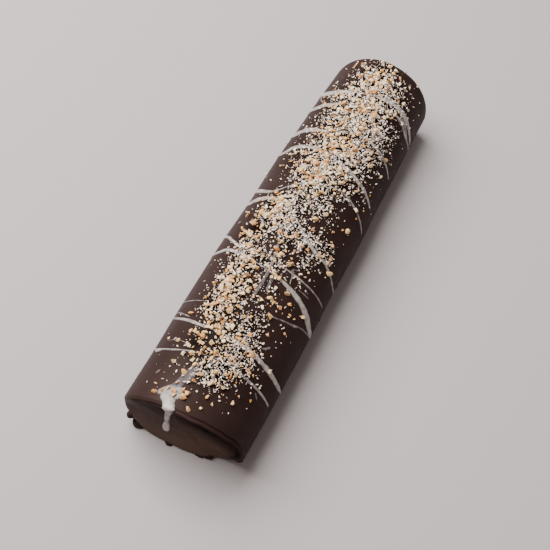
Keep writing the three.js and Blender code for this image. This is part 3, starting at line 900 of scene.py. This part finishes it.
VEILS = [
    [[97, -3, 1.8], [108, -3.6, 2.4], [122, -3.6, 2.4], [134, -2.4, 2.4], [148, 0.5, 1.8]],
    [[108, -9.4, 2], [117, -8.6, 2.4], [127, -7.6, 2]],
    [[69, -6.5, 1.6], [77, -6.8, 1.8], [86, -7, 1.4]],
    [[180.5, 6, 1.8], [209.5, 8, 1.8]],
    [[20, 30.5, 1.8], [23.5, 28, 1.8]],
]
THREAD_COVER, FINE_COVER, VEIL_COVER, TRAIL_COVER = 0.76, 0.6, 0.32, 0.15
print(len(THREADS), "threads,", len(FINE_THREADS), "fine ones and", len(VEILS) + 1, "veils")

# %% Lay paths on the skin
LEAST_BREADTH = 0.4
TAPER, BLUNT_END = 0.5, 0.02
NUTS_MIDDLE, NUTS_BREADTH = 4, 15


def smooth_path(rows, step=1.0):
    """Points about `step` apart on a Catmull-Rom curve through the rows."""
    rows = np.array(rows, dtype=float)
    padded = np.vstack([2 * rows[0] - rows[1], rows, 2 * rows[-1] - rows[-2]])
    pieces = []
    for place in range(1, len(rows)):
        before, start, end, after = padded[place - 1:place + 3]
        count = max(int(np.linalg.norm((end - start)[:2]) / step), 2)
        share = np.linspace(0, 1, count, endpoint=False)[:, None]
        pieces.append(0.5 * (2 * start + (end - before) * share
                             + (2 * before - 5 * start + 4 * end - after) * share ** 2
                             + (3 * start - before - 3 * end + after) * share ** 3))
    return np.vstack(pieces + [rows[-1:]])


def lay_paths(name, groups, buried=0.0):
    """One object of open paths on the skin, from [(rows, cover), ...]; they thin out under the nuts."""
    points, edges, breadths, outs, covers = [], [], [], [], []
    for rows, cover in groups:
        path = smooth_path(rows)
        point, _, _, out = skin_frame(path[:, 0], path[:, 1])
        gone = np.concatenate([[0], np.cumsum(np.linalg.norm(np.diff(point, axis=0), axis=1))])
        end = np.minimum(gone, gone[-1] - gone)
        thinned = 1 - buried * bell((path[:, 1] - NUTS_MIDDLE) / NUTS_BREADTH)
        breadth = np.maximum(path[:, 2], LEAST_BREADTH) * thinned
        breadth = breadth * np.sqrt(np.clip(end / (TAPER * breadth), BLUNT_END, 1))
        edges += [(len(points) + place, len(points) + place + 1) for place in range(len(path) - 1)]
        points += to_frame(point).tolist()
        breadths += (breadth * MM).tolist()
        outs += out.tolist()
        covers += [cover] * len(path)
    piece = start_piece(name, points, edges)
    write_attribute(piece.data, "breadth", breadths)
    write_attribute(piece.data, "out", outs, "FLOAT_VECTOR")
    write_attribute(piece.data, "cover", covers)
    print(name, "follows", len(groups), "paths through", len(points), "points")
    return piece


print("first thread runs through", len(smooth_path(THREADS[0])), "points")

# %% [markdown]
# Icing is sugar and water: white, a little translucent and shiny. Glass with a milky volume would be
# truer but slow to render, so an attribute does the work: `cover` says how much of the chocolate the
# icing hides. Where it is low, the line turns to the dark grey of a thin sugar film.

# %% Measure how thick the icing lies
coat_tree = BVHTree.FromPolygons([vertex.co for vertex in coat.data.vertices],
                                 [tuple(face.vertices) for face in coat.data.polygons])
FILM_COVER = 0.25


def thin_out(piece, full_mm, most=1.0):
    """Lowers `cover` wherever the icing lies thinner than `full_mm` on the chocolate."""
    given = piece.data.attributes.get("cover")
    covers = []
    for vertex in piece.data.vertices:
        near, normal, _, _ = coat_tree.find_nearest(vertex.co)
        height = (vertex.co - near).dot(normal) / MM
        before = given.data[vertex.index].value if given else most
        share = FILM_COVER + (1 - FILM_COVER) * height / full_mm
        covers.append(before * min(max(share, 0.0), 1.0))
    if given:
        given.data.foreach_set("value", covers)
    else:
        write_attribute(piece.data, "cover", covers)


print("icing can be measured against", len(coat.data.polygons), "faces of the coat")

# %% Mix the icing
def make_icing():
    material, shader = start_material("white_icing", Roughness=0.28, IOR=1.45, Subsurface_Weight=0.25,
                                      Subsurface_Scale=0.8 * MM, Subsurface_Radius=(1.0, 0.85, 0.7))
    tree = material.node_tree
    cover = painted(tree, "cover")
    uneven = remap(tree, noise_field(tree, 3.5), (-0.16, 0.16), NOISE_SPAN)
    colour = ramp(tree, add_clamped(tree, cover, uneven),
                  [(0.0, paint("#201714")), (0.3, paint("#524b4d")), (0.65, paint("#8c8480")),
                   (1.0, paint("#bab1aa"))])
    tree.links.new(colour, shader.inputs["Base Color"])
    shine = remap(tree, cover, (0.1, 0.5), (0.0, 0.5))
    tree.links.new(shine, shader.inputs["Specular IOR Level"])
    add_relief(tree, shader, noise_field(tree, 1.6, detail=2.0), 0.04, 0.5)
    return material


icing = make_icing()
print("icing mixed as", icing.name)

# %% Draw the lines
def make_thread_tree():
    tree, given, result = start_tree("icing_threads", Material=icing, Sides=0, Lift_Share=0.0,
                                     Least_Lift=0.0, Wobble=0.0, Wobble_Size=0.0)
    place = add_node(tree, "GeometryNodeInputPosition").outputs[0]
    marked = add_node(tree, "GeometryNodeStoreNamedAttribute",
                      {"Geometry": given["Geometry"], "Name": "spine", "Value": place},
                      data_type="FLOAT_VECTOR", domain="POINT")
    curve = add_node(tree, "GeometryNodeMeshToCurve", {"Mesh": marked.outputs[0]})
    grain = calculate(tree, "DIVIDE", 1.0, given["Wobble Size"])
    noise = add_node(tree, "ShaderNodeTexNoise", {"Vector": place, "Scale": grain, "Detail": 2.0})
    centred = calculate(tree, "SUBTRACT", noise.outputs[0], 0.5)
    sway = calculate(tree, "ADD", 1.0, calculate(tree, "MULTIPLY", centred, given["Wobble"]))
    laid = read_attribute(tree, "breadth")
    breadth = calculate(tree, "MULTIPLY", laid, sway)
    profile = add_node(tree, "GeometryNodeCurvePrimitiveCircle",
                       {"Resolution": given["Sides"], "Radius": 0.5})
    thread = add_node(tree, "GeometryNodeCurveToMesh",
                      {"Curve": curve.outputs[0], "Profile Curve": profile.outputs[0], "Scale": breadth,
                       "Fill Caps": True})
    out = read_attribute(tree, "out", "FLOAT_VECTOR")
    away = calculate_vector(tree, "SUBTRACT", place, read_attribute(tree, "spine", "FLOAT_VECTOR"))
    rise = calculate_vector(tree, "DOT_PRODUCT", away, out, output="Value")
    lift = calculate(tree, "ADD", calculate(tree, "MULTIPLY", laid, given["Lift Share"]),
                     given["Least Lift"])
    wanted = calculate(tree, "DIVIDE", calculate(tree, "MULTIPLY", lift, 2.0), laid)
    change = calculate(tree, "MULTIPLY", rise, calculate(tree, "SUBTRACT", wanted, 1.0))
    pressed = move(tree, thread.outputs[0], times(tree, out, change))
    end_tree(tree, pressed, given["Material"], result)
    return tree


thread_tree = make_thread_tree()
strokes = [(rows, THREAD_COVER) for rows in THREADS] + [(rows, FINE_COVER) for rows in FINE_THREADS]
lines = lay_paths("icing_lines", strokes, buried=0.65)
grow(lines, thread_tree, Material=icing, Sides=14, Lift_Share=0.1, Least_Lift=0.2 * MM, Wobble=0.8,
     Wobble_Size=4 * MM)
thin_out(lines, full_mm=0.5)
finish_piece(lines)
veils = lay_paths("icing_veils", [(TRAIL, TRAIL_COVER)] + [(rows, VEIL_COVER) for rows in VEILS])
grow(veils, thread_tree, Material=icing, Sides=14, Lift_Share=0.01, Least_Lift=0.25 * MM, Wobble=0.5,
     Wobble_Size=5 * MM)
finish_piece(veils)

# %% [markdown]
# ## The spilt spoonful
# A spoonful of icing landed at the near end. It lies as a pool on the crown, and one run went over
# the rim and down the end face, where it stopped in a round bulb. Metaballs could melt such a shape,
# but their skin is hard to steer. Pool and run are one body of liquid, so they are built from
# overlapping lumps and melted together by the Remesh modifier, as a sculptor would start from a few
# balls of clay.

# %% Lumps of the spill, the pool in rows of [along, across, long, wide, thick] in millimetres
POOL = [
    [9, 13, 5.4, 6.6, 0.8], [5.5, 11.5, 4.4, 6.4, 1], [12.5, 11.5, 4, 5, 0.7], [3, 9, 3.4, 5.4, 1.2],
    [13.5, 7, 3.4, 3.4, 0.8], [8, 19, 2.8, 2.4, 0.7], [1.2, 7.8, 2.2, 4.8, 1.2], [9.5, 6.5, 3.2, 3, 0.8],
]
RUN_TOP, RUN_BOTTOM = 57.0, 17.0
RUN_SIDEWAYS = [[17, 12.4], [28, 12.1], [36, 11.0], [44, 10.2], [50, 9.3], [57, 7.8]]
RUN_WIDTH = [[0, 4.6], [0.15, 3.7], [0.3, 2.9], [0.45, 2.4], [0.8, 2.3], [0.93, 3.1], [1, 2.7]]
RUN_THICKNESS = [[0, 1.0], [0.85, 1.1], [0.95, 1.8], [1, 1.7]]
LUMP_HEIGHT, LUMP_STEP = 2.0, 0.9
SUNK = 0.2


def ball(reach, axes, centre, detail=16):
    """Points and faces of a stretched ball."""
    points, faces = [], []
    for row in range(detail + 1):
        tilt = math.pi * row / detail
        for column in range(detail * 2):
            spin = math.pi * column / detail
            local = (math.sin(tilt) * math.cos(spin), math.sin(tilt) * math.sin(spin), math.cos(tilt))
            points.append(centre + sum(local[axis] * reach[axis] * axes[axis] for axis in range(3)))
    for row in range(detail):
        for column in range(detail * 2):
            beside = (column + 1) % (detail * 2)
            here, below = row * detail * 2, (row + 1) * detail * 2
            faces.append((here + column, below + column, below + beside, here + beside))
    return points, faces


def spill_lumps():
    """Every lump of the pool and of the run, as (reach, axes, centre)."""
    lumps = []
    for along, across, long, wide, thick in POOL:
        point, *axes = skin_frame(along, across)
        lumps.append(((long, wide, thick), axes, point - SUNK * axes[2]))
    for up in np.arange(RUN_TOP, RUN_BOTTOM - 0.1, -LUMP_STEP):
        gone = (RUN_TOP - up) / (RUN_TOP - RUN_BOTTOM)
        sideways = float(look_up(RUN_SIDEWAYS, up))
        reach = (look_up(RUN_THICKNESS, gone), float(look_up(RUN_WIDTH, gone)), LUMP_HEIGHT)
        lumps.append((reach, np.eye(3), np.array([face_depth(sideways, up) + SUNK, sideways, up])))
    return lumps


print("spill:", len(spill_lumps()), "lumps")

# %% Pour the spill
def pour_spill():
    """Melts the overlapping lumps into one smooth skin."""
    points, faces = [], []
    for lump in spill_lumps():
        shell, skin = ball(*lump)
        faces += [tuple(index + len(points) for index in face) for face in skin]
        points += shell
    piece = start_piece("spilt_icing", to_frame(points), faces=faces)
    remesh = piece.modifiers.new("melt", "REMESH")
    remesh.mode = "VOXEL"
    remesh.voxel_size = 0.45 * MM
    remesh.use_smooth_shade = True
    ease = piece.modifiers.new("ease", "SMOOTH")
    ease.factor = 0.5
    ease.iterations = 6
    keep_result(piece)
    return piece


spill = pour_spill()
thin_out(spill, full_mm=1.1, most=0.92)
finish_piece(spill, icing)

# %% [markdown]
# ## Nuts
# Chopped hazelnuts break into angular chunks with flat cut faces and slightly worn edges, pale inside
# and toasted to orange outside. They could be modelled one by one, but a few different chunks are
# enough when each copy has its own size, turn and tone. The large and the middling ones are listed
# where they lie, their turn and tone are drawn by a seeded rule, and Geometry Nodes put a chunk
# on each of those points.

# %% Break the nuts
NEAREST_CORNER, FARTHEST_CORNER = 0.38, 0.55
LENGTHWAYS = 1.1
FLAT_WITHIN = math.radians(14)
KINDS = 8


def broken_chunk(name, seed, corners, flatness, bevel, narrowness):
    """An angular chunk about one unit across."""
    draw = np.random.default_rng(seed)
    spread = draw.normal(size=(corners, 3))
    spread /= np.linalg.norm(spread, axis=1, keepdims=True)
    reach = draw.uniform(NEAREST_CORNER, FARTHEST_CORNER, size=(corners, 1))
    spread *= reach * np.array([LENGTHWAYS, narrowness, flatness])
    work = bmesh.new()
    for corner in spread:
        work.verts.new(corner)
    bmesh.ops.convex_hull(work, input=work.verts)
    loose = [vertex for vertex in work.verts if not vertex.link_faces]
    bmesh.ops.delete(work, geom=loose, context="VERTS")
    bmesh.ops.dissolve_limit(work, angle_limit=FLAT_WITHIN, verts=work.verts, edges=work.edges)
    if bevel:
        bmesh.ops.bevel(work, geom=work.edges[:] + work.verts[:], offset=bevel, segments=1, affect="EDGES")
    bmesh.ops.triangulate(work, faces=work.faces)
    bmesh.ops.recalc_face_normals(work, faces=work.faces)
    mesh = bpy.data.meshes.new(name)
    work.to_mesh(mesh)
    work.free()
    return bpy.data.objects.new(name, mesh)


def chunk_box(name, seed, corners, flatness, bevel=0.0, narrowness=0.85):
    """A collection of chunks, kept out of the picture, for the trees to pick from."""
    box = bpy.data.collections.new(name)
    for kind in range(KINDS):
        box.objects.link(broken_chunk(f"{name}_{kind}", seed * 100 + kind, corners, flatness, bevel,
                                      narrowness))
    faces = [len(chunk.data.polygons) for chunk in box.objects]
    print(name, "holds chunks of", min(faces), "to", max(faces), "faces")
    return box


nut_chunks = chunk_box("nut_chunks", seed=3, corners=13, flatness=0.72, bevel=0.045)

# %% [markdown]
# A cut nut is waxy: it is dull, lets a little light in and changes tone across one face. One finish
# serves every nut and crumb. It reads each chunk's own `tone` and adds a little noise to it.

# %% Toast the nuts
def make_nut_finish():
    material, shader = start_material("toasted_nut", Roughness=0.5, IOR=1.47, Subsurface_Weight=0.2,
                                      Subsurface_Scale=1.0 * MM, Subsurface_Radius=(1.0, 0.6, 0.35))
    tree = material.node_tree
    uneven = remap(tree, noise_field(tree, 1.8), (-0.18, 0.18), NOISE_SPAN)
    colour = ramp(tree, add_clamped(tree, painted(tree, "tone"), uneven),
                  [(0.0, paint("#faead0")), (0.45, paint("#e9c48f")), (0.8, paint("#daa666")),
                   (1.0, paint("#b97a3e"))])
    tree.links.new(colour, shader.inputs["Base Color"])
    add_relief(tree, shader, noise_field(tree, 0.7), 0.12, 0.7)
    return material


nut_finish = make_nut_finish()
print("nuts toasted as", nut_finish.name)

# %% Where the nuts lie, in rows of [along, across, size] in millimetres
LARGE_NUTS = [
    [7, 22.4, 5], [10, 3.2, 7], [4.6, -3.5, 5.2], [17, -10.5, 4.2], [26.5, -9, 5.4], [25.5, 11, 5.6],
    [41, 13, 5.2], [55, 13, 5.8], [59.5, -21, 7.4], [40.5, -18.5, 5.6], [82.5, 18, 5.6], [97, 18.5, 8.2],
    [105, 17, 6.6], [103.5, -14, 6.4], [109.5, -42, 4.6], [122, -12.5, 5.2], [140, -5.5, 6], [157, 3, 6],
    [153, -43, 6.4], [157.5, -37.5, 5.4], [192, -39, 5.8], [170.5, 25, 6.6], [228.5, 7.5, 7.6],
    [218, 15, 6.8], [231.5, -10.5, 6], [255.5, -12.5, 6], [283.5, -20, 5.8], [294.5, 14.5, 6.2],
    [309, -5, 5.6], [325.5, -0.5, 7.2],
]
MIDDLING_NUTS = [
    [13.3, 1.4, 5.6], [14.6, 5, 4.4], [11.4, 10.1, 4.8], [9, 8.4, 5.2], [11.6, 14.6, 4], [8.6, 18, 3.6],
    [12.5, 25, 3], [9, -10.5, 3], [14.5, -15.5, 3], [17.5, 11, 4], [33.5, 7, 4.5], [48, 28, 4],
    [57, 22.5, 4.5], [64.5, -9.5, 4.5], [58, -2, 5], [53, 5, 5], [48, -24.5, 4.5], [71.5, -14.5, 4.5],
    [81.5, -5, 4.5], [102.5, -23, 4], [89, -35, 3], [103, -31.5, 3], [79, -24.5, 3.5], [115, -22.5, 5],
    [132, 5, 5], [149.5, 27.5, 5], [147.5, 22.5, 5], [172.5, 15.5, 6], [171, 1, 4.5], [180.5, -13.5, 6],
    [137.5, -15, 5], [150.5, -1, 4.5], [157.5, -29, 5], [163.5, -38.5, 4], [172, -34.5, 4], [189, -35.5, 3],
    [211, 4, 6], [213, -15, 4], [234, 1, 5], [170.5, 37.5, 4], [192.5, 23.5, 5], [186.5, 16.5, 7],
    [277, -8.5, 6], [296, -12.5, 6], [306.5, -20, 5], [253, 4.5, 6], [289, 24, 4.5], [337, -10, 5],
    [270, -40, 4.5],
]
print(len(LARGE_NUTS), "large nuts and", len(MIDDLING_NUTS), "middling ones")

# %% Lay the nuts
LIFT_SHARE = 0.16
TIP = 0.35
TONE, TONE_SPREAD = 0.7, 0.2


def pick_chunk(tree, points, chunks, kind, rotation, size):
    """Puts one chunk of a collection on each point."""
    box = add_node(tree, "GeometryNodeCollectionInfo",
                   {"Collection": chunks, "Separate Children": True, "Reset Children": True})
    stood = add_node(tree, "GeometryNodeInstanceOnPoints",
                     {"Points": points, "Instance": box.outputs[0], "Pick Instance": True,
                      "Instance Index": kind, "Rotation": rotation, "Scale": size})
    return stood.outputs[0]


def make_chunk_tree():
    tree, given, result = start_tree("set_chunks", Material=nut_finish, Chunks=nut_chunks)
    turn = add_node(tree, "FunctionNodeEulerToRotation", {0: read_attribute(tree, "turn", "FLOAT_VECTOR")})
    stood = pick_chunk(tree, given["Geometry"], given["Chunks"], read_attribute(tree, "kind", "INT"),
                       turn.outputs[0], read_attribute(tree, "size"))
    end_tree(tree, stood, given["Material"], result, smooth=False)
    return tree


def lay_nuts(rows, seed):
    """One chunk per row, each with its own turn and tone, partly sunk in what it fell on."""
    draw = np.random.default_rng(seed)
    rows = np.array(rows, dtype=float)
    point, _, _, out = skin_frame(rows[:, 0], rows[:, 1])
    sizes = rows[:, 2]
    lifted = point + out * (LIFT_SHARE * sizes)[:, None]
    piece = start_piece("chopped_nuts", to_frame(lifted))
    turns_to = []
    for normal in out:
        upright = Vector(normal).to_track_quat("Z", "X")
        spin = Euler((draw.normal(0, TIP), draw.normal(0, TIP), draw.uniform(0, FULL_TURN)))
        turns_to.append(tuple((upright @ spin.to_quaternion()).to_euler()))
    write_attribute(piece.data, "turn", turns_to, "FLOAT_VECTOR")
    write_attribute(piece.data, "size", sizes * MM)
    write_attribute(piece.data, "kind", draw.integers(0, KINDS, len(rows)), "INT")
    write_attribute(piece.data, "tone", np.clip(draw.normal(TONE, TONE_SPREAD, len(rows)), 0, 1))
    return piece


nuts = lay_nuts(LARGE_NUTS + MIDDLING_NUTS, 5)
grow(nuts, make_chunk_tree(), Material=nut_finish, Chunks=nut_chunks)
finish_piece(nuts)

# %% [markdown]
# ## Crumbs and flakes
# The fine stuff falls where the hand passed: thick along the crown, thin at the sides, with gaps and
# clusters. Rather than placing thousands of bits, or letting a particle system drop them, the coat
# carries two attributes that say how thickly each spot is covered, and Geometry Nodes scatter crumbs
# and flakes by them. A third holds painted shade: how much the bits shade the chocolate, together with
# the painted shade in the folds of the near end.

# %% Patches of crumbs and flakes, in rows of [along, across, long, wide, amount] in millimetres
CRUMB_PATCHES = [
    [42, -5, 16, 12, 0.75], [50, 15, 11, 9, 0.85], [66, 2, 13, 13, 0.75], [82, 14, 14, 11, 1.0],
    [102, 13, 16, 10, 0.95], [125, 16, 18, 11, 0.7], [150, 23, 12, 8, 0.9], [165, 16, 14, 12, 0.7],
    [106, -6, 20, 12, 0.25], [148, -5, 12, 7, 0.65], [181, 18, 10, 10, 0.95], [212, 2, 14, 14, 0.6],
    [226, 4, 12, 20, 1.0], [250, -2, 18, 22, 0.8], [275, 2, 14, 22, 0.7], [292, 2, 12, 22, 0.9],
    [315, 0, 18, 20, 0.8], [335, 2, 12, 16, 0.8],
]
FLAKE_PATCHES = [
    [34, -5, 12, 12, 0.95], [50, -15, 12, 11, 0.95], [64, -13, 12, 11, 0.85], [82, -12, 10, 9, 0.5],
    [84, 14, 16, 12, 0.5], [110, 16, 20, 10, 0.5], [104, -4, 20, 10, 0.2], [131, -3, 8, 10, 0.55],
    [134, 17, 13, 12, 0.8], [146, -22, 8, 6, 0.75], [162, -13, 9, 20, 0.97], [164, 9, 9, 12, 0.7],
    [176, 10, 11, 16, 0.9], [192, 4, 10, 14, 0.65], [195, -12, 10, 10, 0.7], [209, 1, 13, 15, 0.8],
    [226, -4, 13, 24, 0.95], [246, 6, 16, 20, 0.8], [248, -18, 14, 14, 0.85], [267, -20, 13, 14, 0.85],
    [278, 8, 13, 17, 0.95], [286, -17, 14, 17, 1.0], [305, 6, 13, 23, 0.9], [322, -12, 14, 18, 1.0],
    [336, 6, 13, 15, 0.8], [157, -28, 5, 8, 0.6], [163, -38, 2.5, 4, 0.9], [170, -34, 2.5, 4, 0.9],
    [125, -24, 5, 6, 0.2],
]
print(len(CRUMB_PATCHES), "patches of crumbs and", len(FLAKE_PATCHES), "of flakes")

# %% Write how thickly the crown is strewn, and the painted shade
BAND_MIDDLE, BAND_REACH = -1, 34
BAND_START, BAND_RISE = 8, 30
CLUSTERING = 1.3
STEEPEST = 0.7
BIT_SHADE, FOLD_SHADE = 1.2, 0.95
MOST_DULLED = 0.8


def thickness(along, across, patches, stray):
    """Soft patches joined, with a thin stray scatter over the whole band."""
    bare = np.ones_like(along)
    for middle, side, long, wide, amount in patches:
        distance = np.hypot((along - middle) / long, (across - side) / wide)
        bare *= 1 - amount * np.exp(-distance ** 2)
    band = np.exp(-((across - BAND_MIDDLE) / BAND_REACH) ** 4) * rising(along, BAND_START, BAND_RISE)
    return np.clip(1 - bare, 0, 1) ** CLUSTERING + stray * band


def strewn_places():
    """Along and across for every point of the coat, and whether bits can lie there."""
    places = point_table(coat.data, "co") / MM - AXIS_SHIFT
    along = places[:, 0] + LENGTH / 2
    half, bend = girth(np.clip(along, 0, LENGTH))
    sideways = places[:, 1] - bend - LEAN * places[:, 2] / HEIGHT
    turn = np.arctan2(sideways / half, (places[:, 2] - EQUATOR) / (HEIGHT - EQUATOR))
    skin = np.abs(point_table(coat.data, "normal")[:, 0]) < STEEPEST
    return along, across_at(turn), (np.abs(turn) < QUARTER) * skin


def strew_coat():
    """Writes both thicknesses, the painted shade under the bits and in the folds, and the gloss that the
    bits take away.
    """
    mesh = coat.data
    along, across, holds = strewn_places()
    write_attribute(mesh, "crumbs", thickness(along, across, CRUMB_PATCHES, 0.05) * holds)
    write_attribute(mesh, "flakes", thickness(along, across, FLAKE_PATCHES, 0.04) * holds)
    cover = thickness(along, across, CRUMB_PATCHES + FLAKE_PATCHES, 0.0) * holds
    # painted shade: darker chocolate where the bits lie thick and in the folds of the near end
    shade = BIT_SHADE * cover + FOLD_SHADE * read_values(mesh, "folds")
    write_attribute(mesh, "strewn", np.clip(shade, 0, 1))
    dull = np.maximum(read_values(mesh, "dull"), np.clip(cover, 0, MOST_DULLED))
    mesh.attributes["dull"].data.foreach_set("value", dull)
    return cover


print("bits cover", round(100 * float(np.mean(strew_coat() > 0.5))), "% of the coat's points thickly")

# %% [markdown]
# One tree scatters both kinds. It draws points by the thickness, gives each a size that is more often
# small than large, tips and spins it, and picks a chunk for it. Every random value has the tree's seed
# and a number of its own, so two values never follow one another.

# %% Scatter tree
def make_scatter_tree(name):
    tree, given, result = start_tree(name, Material=nut_finish, Chunks=nut_chunks, Count_Per_Area=0.0,
                                     Least=0.0, Most=0.0, Small_Bias=0.0, Tilt=0.0, Lift=0.0, Seed=0)
    density = calculate(tree, "MULTIPLY", read_attribute(tree, "thickness"), given["Count Per Area"])
    spread = add_node(tree, "GeometryNodeDistributePointsOnFaces",
                      {"Mesh": given["Geometry"], "Density": density, "Seed": given["Seed"]})

    def draw(low, high, shift, kind="FLOAT"):
        first, output = {"FLOAT": (2, 1), "INT": (4, 2), "FLOAT_VECTOR": (0, 0)}[kind]
        seed = calculate(tree, "ADD", given["Seed"], float(shift))
        node = add_node(tree, "FunctionNodeRandomValue", {first: low, first + 1: high, 8: seed},
                        data_type=kind)
        return node.outputs[output]

    chance = calculate(tree, "POWER", draw(0.0, 1.0, 1), given["Small Bias"])
    size = remap(tree, chance, (given["Least"], given["Most"]))
    tilt = times(tree, draw((-1, -1, 0), (1, 1, 0), 2, "FLOAT_VECTOR"), given["Tilt"])
    spin = add_node(tree, "ShaderNodeCombineXYZ", {"Z": draw(0.0, FULL_TURN, 3)}).outputs[0]
    turned = add_node(tree, "FunctionNodeEulerToRotation", {0: calculate_vector(tree, "ADD", tilt, spin)})
    rotation = add_node(tree, "FunctionNodeRotateRotation",
                        {"Rotation": spread.outputs["Rotation"], "Rotate By": turned.outputs[0]},
                        rotation_space="LOCAL")
    rise = times(tree, spread.outputs["Normal"], calculate(tree, "MULTIPLY", size, given["Lift"]))
    lifted = move(tree, spread.outputs["Points"], rise)
    toned = add_node(tree, "GeometryNodeStoreNamedAttribute",
                     {"Geometry": lifted, "Name": "tone", "Value": draw(0.0, 1.0, 4)},
                     data_type="FLOAT", domain="POINT")
    stood = pick_chunk(tree, toned.outputs[0], given["Chunks"], draw(0, KINDS - 1, 5, "INT"),
                       rotation.outputs[0], size)
    end_tree(tree, stood, given["Material"], result, smooth=False)
    return tree


def strew(name, attribute, material, chunks, **sizes):
    """Scatters one kind of bit over the coat by one of its attributes."""
    piece = add_object(name, coat.data.copy())
    write_attribute(piece.data, "thickness", read_values(piece.data, attribute))
    grow(piece, make_scatter_tree(name), Material=material, Chunks=chunks, **sizes)
    finish_piece(piece)


print("one tree for crumbs and flakes")

# %% [markdown]
# The white flakes are dry and thin, like grated coconut: flat slivers without gloss, some of them a
# little creamier. A plain ramp over each flake's own tone is enough.

# %% Strew the crumbs and the flakes
crumb_chunks = chunk_box("crumb_chunks", seed=5, corners=9, flatness=0.7)
flake_chunks = chunk_box("flake_chunks", seed=7, corners=7, flatness=0.3, narrowness=0.55)
flake_finish, flake_shader = start_material("white_flake", Roughness=0.6, IOR=1.45)
flake_tree = flake_finish.node_tree
flake_colour = ramp(flake_tree, painted(flake_tree, "tone"),
                    [(0.0, paint("#fff6ef")), (0.6, paint("#ffeee0")), (1.0, paint("#f0d6b2"))])
flake_tree.links.new(flake_colour, flake_shader.inputs["Base Color"])
strew("nut_crumbs", "crumbs", nut_finish, crumb_chunks, Count_Per_Area=0.20e6, Least=1.2 * MM,
      Most=5.0 * MM, Small_Bias=2.2, Tilt=0.6, Lift=0.3, Seed=11)
strew("white_flakes", "flakes", flake_finish, flake_chunks, Count_Per_Area=0.92e6, Least=0.8 * MM,
      Most=3.1 * MM, Small_Bias=2.0, Tilt=0.8, Lift=0.3, Seed=23)
